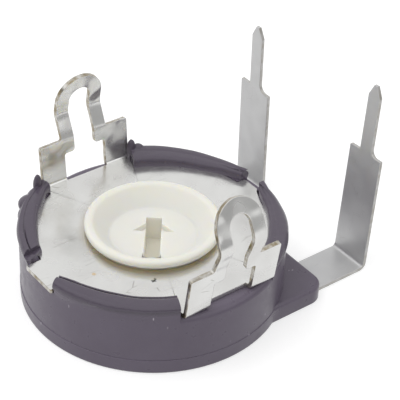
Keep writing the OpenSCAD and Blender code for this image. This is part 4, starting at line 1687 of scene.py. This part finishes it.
@dataclass
class EndTerminal:
    """End terminal: a strip out of the floor, folded up to two shoulders and a pointed pin."""

    node: str
    y: float
    lean_deg: float
    splay_deg: float
    stock: SheetStock = SheetStock(0.22, 0.03)
    start_x: float = 2.30
    step_end_x: float = 5.65
    step_run: float = 0.6
    inner_mid_z: float = 0.31
    outer_mid_z: float = 0.13
    upright_x: float = 11.67
    bend_r: float = 0.4
    width: float = 2.69
    shoulder_z: float = 7.62
    tip_z: float = 12.05
    pin_w: float = 0.98
    point_len: float = 0.7
    point_flat: float = 0.25
    pin_fillet: float = 0.45
    corner_r: float = 0.08

    def surface(self) -> Surface:
        """The strip as a band between its two long edges, folded along its middle line.

        A point at w across and length q has height z(q) and lies x(q) out; the splay then tips
        the upright about the strip's own X line: y is w cos s - z sin s, and z gains w sin s.

        Returns:
            The closed surface.
        """
        end_z = self.tip_z + 0.05
        lean = (end_z - self.outer_mid_z) * math.tan(math.radians(self.lean_deg))
        fold = Fold.through([
            (self.start_x, self.inner_mid_z),
            (self.step_end_x - self.step_run, self.inner_mid_z, self.bend_r),
            (self.step_end_x, self.outer_mid_z, self.bend_r),
            (self.upright_x, self.outer_mid_z, self.bend_r), (self.upright_x + lean, end_z),
        ])

        def guide(side: int, drop: float, fillet: float) -> Array:
            """One long edge in the flat, from the tail to the point.

            Args:
                side: 1 or -1 for the side of the strip.
                drop: How far its shoulder lies lower.
                fillet: Radius between shoulder and pin.

            Returns:
                Points as (across, length along the fold).
            """
            shoulder = float(fold.at_height(self.shoulder_z - drop))
            neck, tip = (float(fold.at_height(self.tip_z - back)) for back in (self.point_len, 0))
            pin = side * self.pin_w / 2
            return rounded_line([
                (side * self.width / 2, 0), (side * self.width / 2, shoulder, self.corner_r),
                (pin, shoulder, fillet), (pin, neck, 0), (side * self.point_flat / 2, tip),
            ], [150, 6, 24, 6], 6)

        left = guide(-1, self.corner_r, self.pin_fillet)
        right = guide(1, 0, self.corner_r)
        flat, offset, bare = self.stock.band(left, right, 8)
        x, z = fold.at(flat[..., 1], offset)
        s = math.radians(self.splay_deg)
        w = flat[..., 0]
        tip = w * math.sin(s) * np.clip((z - self.shoulder_z / 4) / (self.shoulder_z / 2), 0, 1)
        points = np.stack([x, self.y + w * math.cos(s) - z * math.sin(s), z * math.cos(s) + tip], axis=-1)
        return Surface.grid(points, wrap_columns=True, caps=True, bare=bare)

    def build(self) -> bpy.types.Object:
        """Make the terminal.

        Returns:
            The finished piece.
        """
        piece = placed(self.surface().mesh(self.node + "_strip"), TERMINAL_TIN)
        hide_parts(self.node)
        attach(piece, "case")
        return piece


@dataclass
class InnerPieces:
    """The construction model's own inner pieces, dressed in their finishes."""

    finishes: dict[str, Finish] = field(default_factory=lambda: {
        "wiper_contact": PlainGrain("spring_bronze", "#c9a868", 0.3, 1.0, 0.2, 0.001, "#b8955a"),
        "element_board": PlainGrain("phenolic_laminate", "#8a5a2c", 0.5, 0.0, 0.3, 0.006, "#6f4522"),
        "carbon_track": PlainGrain("printed_carbon", "#26262a", 0.7, 0.0, 0.08, 0.004, "#1c1c1f"),
        "track_end_pads": PlainGrain("printed_silver", "#b9bcc0", 0.45, 1.0, 0.06, 0.003, "#a5a8ac"),
        "terminal_rivet_a": PlainGrain("plain_brass", "#b8a26a", 0.3, 1.0, 0.15, 0.002, "#a08a55"),
        "terminal_rivet_b": PlainGrain("plain_brass", "#b8a26a", 0.3, 1.0, 0.15, 0.002, "#a08a55"),
    })

    def dress(self) -> None:
        """Give each piece its finish."""
        for node, finish in self.finishes.items():
            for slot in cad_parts[node].material_slots:
                slot.material = finish.material()
            LOG.info("dressed %s", node)


# ---------------------------------------------------------------- the studio


@dataclass
class Studio:
    """Camera, pale floor, one soft lamp and the light of the room."""

    place_mm: tuple[float, float, float] = (-41.53, -56.89, 58.56)
    azimuth_deg: float = 38.333
    elevation_deg: float = 36.482
    roll_deg: float = 2.4
    lens_mm: float = 134.54
    sensor_mm: float = 36.0
    floor_colour: str = "#c8c8c8"
    floor_size_mm: float = 1200
    floor_glow: float = 0.55
    # How much of the floor's mirror image is even, and how bright that even part is
    floor_even: float = 0.8
    floor_mirrored: float = 0.93
    # Least and most light of the room, in mirror images and on dull surfaces
    glossy_dim: float = 0.4
    glossy_bright: float = 1.15
    diffuse_dim: float = 0.65
    diffuse_bright: float = 0.97
    # Share of the way from least to most that the room beyond the object has
    beyond: float = 0.64
    # Upward and forward parts of a direction at which the room begins to brighten and is full
    overhead: tuple[float, float] = (0.25, 0.6)
    ahead: tuple[float, float] = (0.0, 0.7)
    lamp_azimuth_deg: float = -60.0
    lamp_elevation_deg: float = 55.0
    lamp_far_mm: float = 400.0
    lamp_size_mm: float = 260.0
    lamp_watts: float = 0.4

    @staticmethod
    def towards(azimuth_deg: float, elevation_deg: float = 0.0) -> Vector:
        """Unit vector at an azimuth, from +Y towards +X, and an elevation."""
        az, el = math.radians(azimuth_deg), math.radians(elevation_deg)
        return Vector((math.sin(az) * math.cos(el), math.cos(az) * math.cos(el), math.sin(el)))

    def camera(self) -> None:
        """Stand the camera; azimuth 0 looks along +Y, and roll turns the picture."""
        data = bpy.data.cameras.new("view")
        data.lens, data.sensor_width = self.lens_mm, self.sensor_mm
        data.clip_start, data.clip_end = 1 * MM, 10_000 * MM
        forward = self.towards(self.azimuth_deg, -self.elevation_deg)
        right = self.towards(self.azimuth_deg + 90)
        up = right.cross(forward)
        turn = math.radians(self.roll_deg)
        across = right * math.cos(turn) + up * math.sin(turn)
        over = up * math.cos(turn) - right * math.sin(turn)
        stand = in_scene("view", data)
        axes = Matrix((across, over, -forward)).transposed().to_4x4()
        stand.matrix_world = Matrix.Translation(Vector(self.place_mm) * MM) @ axes
        bpy.context.scene.camera = stand

    def floor(self) -> None:
        """Lay a pale floor that reads as white where no shadow falls, to the eye and in reflections."""
        half = self.floor_size_mm / 2
        rows = np.array([[(x, y, -0.01) for y in (-half, half)] for x in (-half, half)])
        mesh = Surface.grid(rows).mesh("floor")
        material = bpy.data.materials.new("pale_floor")
        tree = emptied(material)
        diffuse = add_node(tree, "BsdfDiffuse", {"Color": linear(self.floor_colour)})
        path = add_node(tree, "LightPath")
        seen = add_node(tree, "Math", {"operation": "MAXIMUM"}, {
            0: path.outputs["Is Camera Ray"], 1: path.outputs["Is Glossy Ray"],
        })
        passed = add_node(tree, "Math", {"operation": "MAXIMUM"}, {
            0: seen, 1: path.outputs["Is Transmission Ray"],
        })
        glow, even = (
            add_node(tree, "Emission", {"Color": WHITE, "Strength": strength})
            for strength in (self.floor_glow, self.floor_mirrored)
        )
        shaded = add_node(tree, "AddShader", None, {0: diffuse, 1: glow})
        mirrored = add_node(tree, "MixShader", {0: self.floor_even}, {1: shaded, 2: even})
        lit = add_node(tree, "MixShader", None, {
            0: path.outputs["Is Camera Ray"], 1: mirrored, 2: shaded,
        })
        both = add_node(tree, "MixShader", None, {0: passed, 1: diffuse, 2: lit})
        add_node(tree, "OutputMaterial", None, {"Surface": both})
        mesh.materials.append(material)
        in_scene("floor", mesh)

    def lamp(self) -> None:
        """Hang a square soft box that faces the object and doesn't mirror in the flat plate."""
        data = bpy.data.lights.new("key", "AREA")
        data.size, data.energy = self.lamp_size_mm * MM, self.lamp_watts
        out = self.towards(self.lamp_azimuth_deg, self.lamp_elevation_deg)
        facing = out.to_track_quat("Z", "Y").to_matrix().to_4x4()
        lamp = in_scene("key", data)
        lamp.visible_glossy = False
        lamp.matrix_world = Matrix.Translation(out * self.lamp_far_mm * MM) @ facing

    def room(self) -> None:
        """Light the room: bright overhead and beyond the object, dim low down on the near side."""
        world = bpy.data.worlds.new("room")
        tree = emptied(world)
        way = add_node(tree, "TexCoord").outputs["Generated"]
        axes = add_node(tree, "SeparateXYZ", None, {0: way})
        ahead = add_node(tree, "VectorMath", {
            "operation": "DOT_PRODUCT", 1: self.towards(self.azimuth_deg),
        }, {0: way})
        high, beyond = (
            add_node(tree, "MapRange", {
                "interpolation_type": "SMOOTHSTEP", "From Min": low, "From Max": full,
            }, {"Value": value})
            for value, (low, full) in (
                (axes.outputs["Z"], self.overhead), (ahead.outputs["Value"], self.ahead),
            )
        )
        lit = add_node(tree, "Mix", {"data_type": "FLOAT", 3: self.beyond}, {0: beyond, 2: high})
        mirrored, spread = (
            add_node(tree, "MapRange", {"To Min": dim, "To Max": bright}, {"Value": lit})
            for dim, bright in (
                (self.glossy_dim, self.glossy_bright), (self.diffuse_dim, self.diffuse_bright),
            )
        )
        path = add_node(tree, "LightPath")
        toned = add_node(tree, "Mix", {"data_type": "FLOAT"}, {
            0: path.outputs["Is Diffuse Ray"], 2: mirrored, 3: spread,
        })
        seen = add_node(tree, "Mix", {"data_type": "FLOAT", 3: 1.0}, {
            0: path.outputs["Is Camera Ray"], 2: toned,
        })
        glow = add_node(tree, "Background", {"Color": WHITE}, {"Strength": seen})
        add_node(tree, "OutputWorld", None, {"Surface": glow})
        bpy.context.scene.world = world

    def build(self) -> None:
        """Set up the whole studio."""
        bpy.context.scene.view_settings.view_transform = "Standard"
        self.camera()
        self.floor()
        self.room()
        self.lamp()
        LOG.info("studio is set")


def main() -> None:
    """Build every piece, and dress the rest."""
    logging.basicConfig(level=logging.INFO, format="%(message)s")
    Studio().build()
    terminals = [
        EndTerminal("end_terminal_a", y=5.0, lean_deg=-1.4, splay_deg=0.8),
        EndTerminal("end_terminal_b", y=-5.0, lean_deg=6.0, splay_deg=-3.0),
    ]
    for assembly in (Housing(), Collector(), Rotor(), *terminals):
        piece = assembly.build()
        LOG.info("%s: %d faces", piece.name, len(piece.data.polygons))
    InnerPieces().dress()


if __name__ == "__main__":
    main()
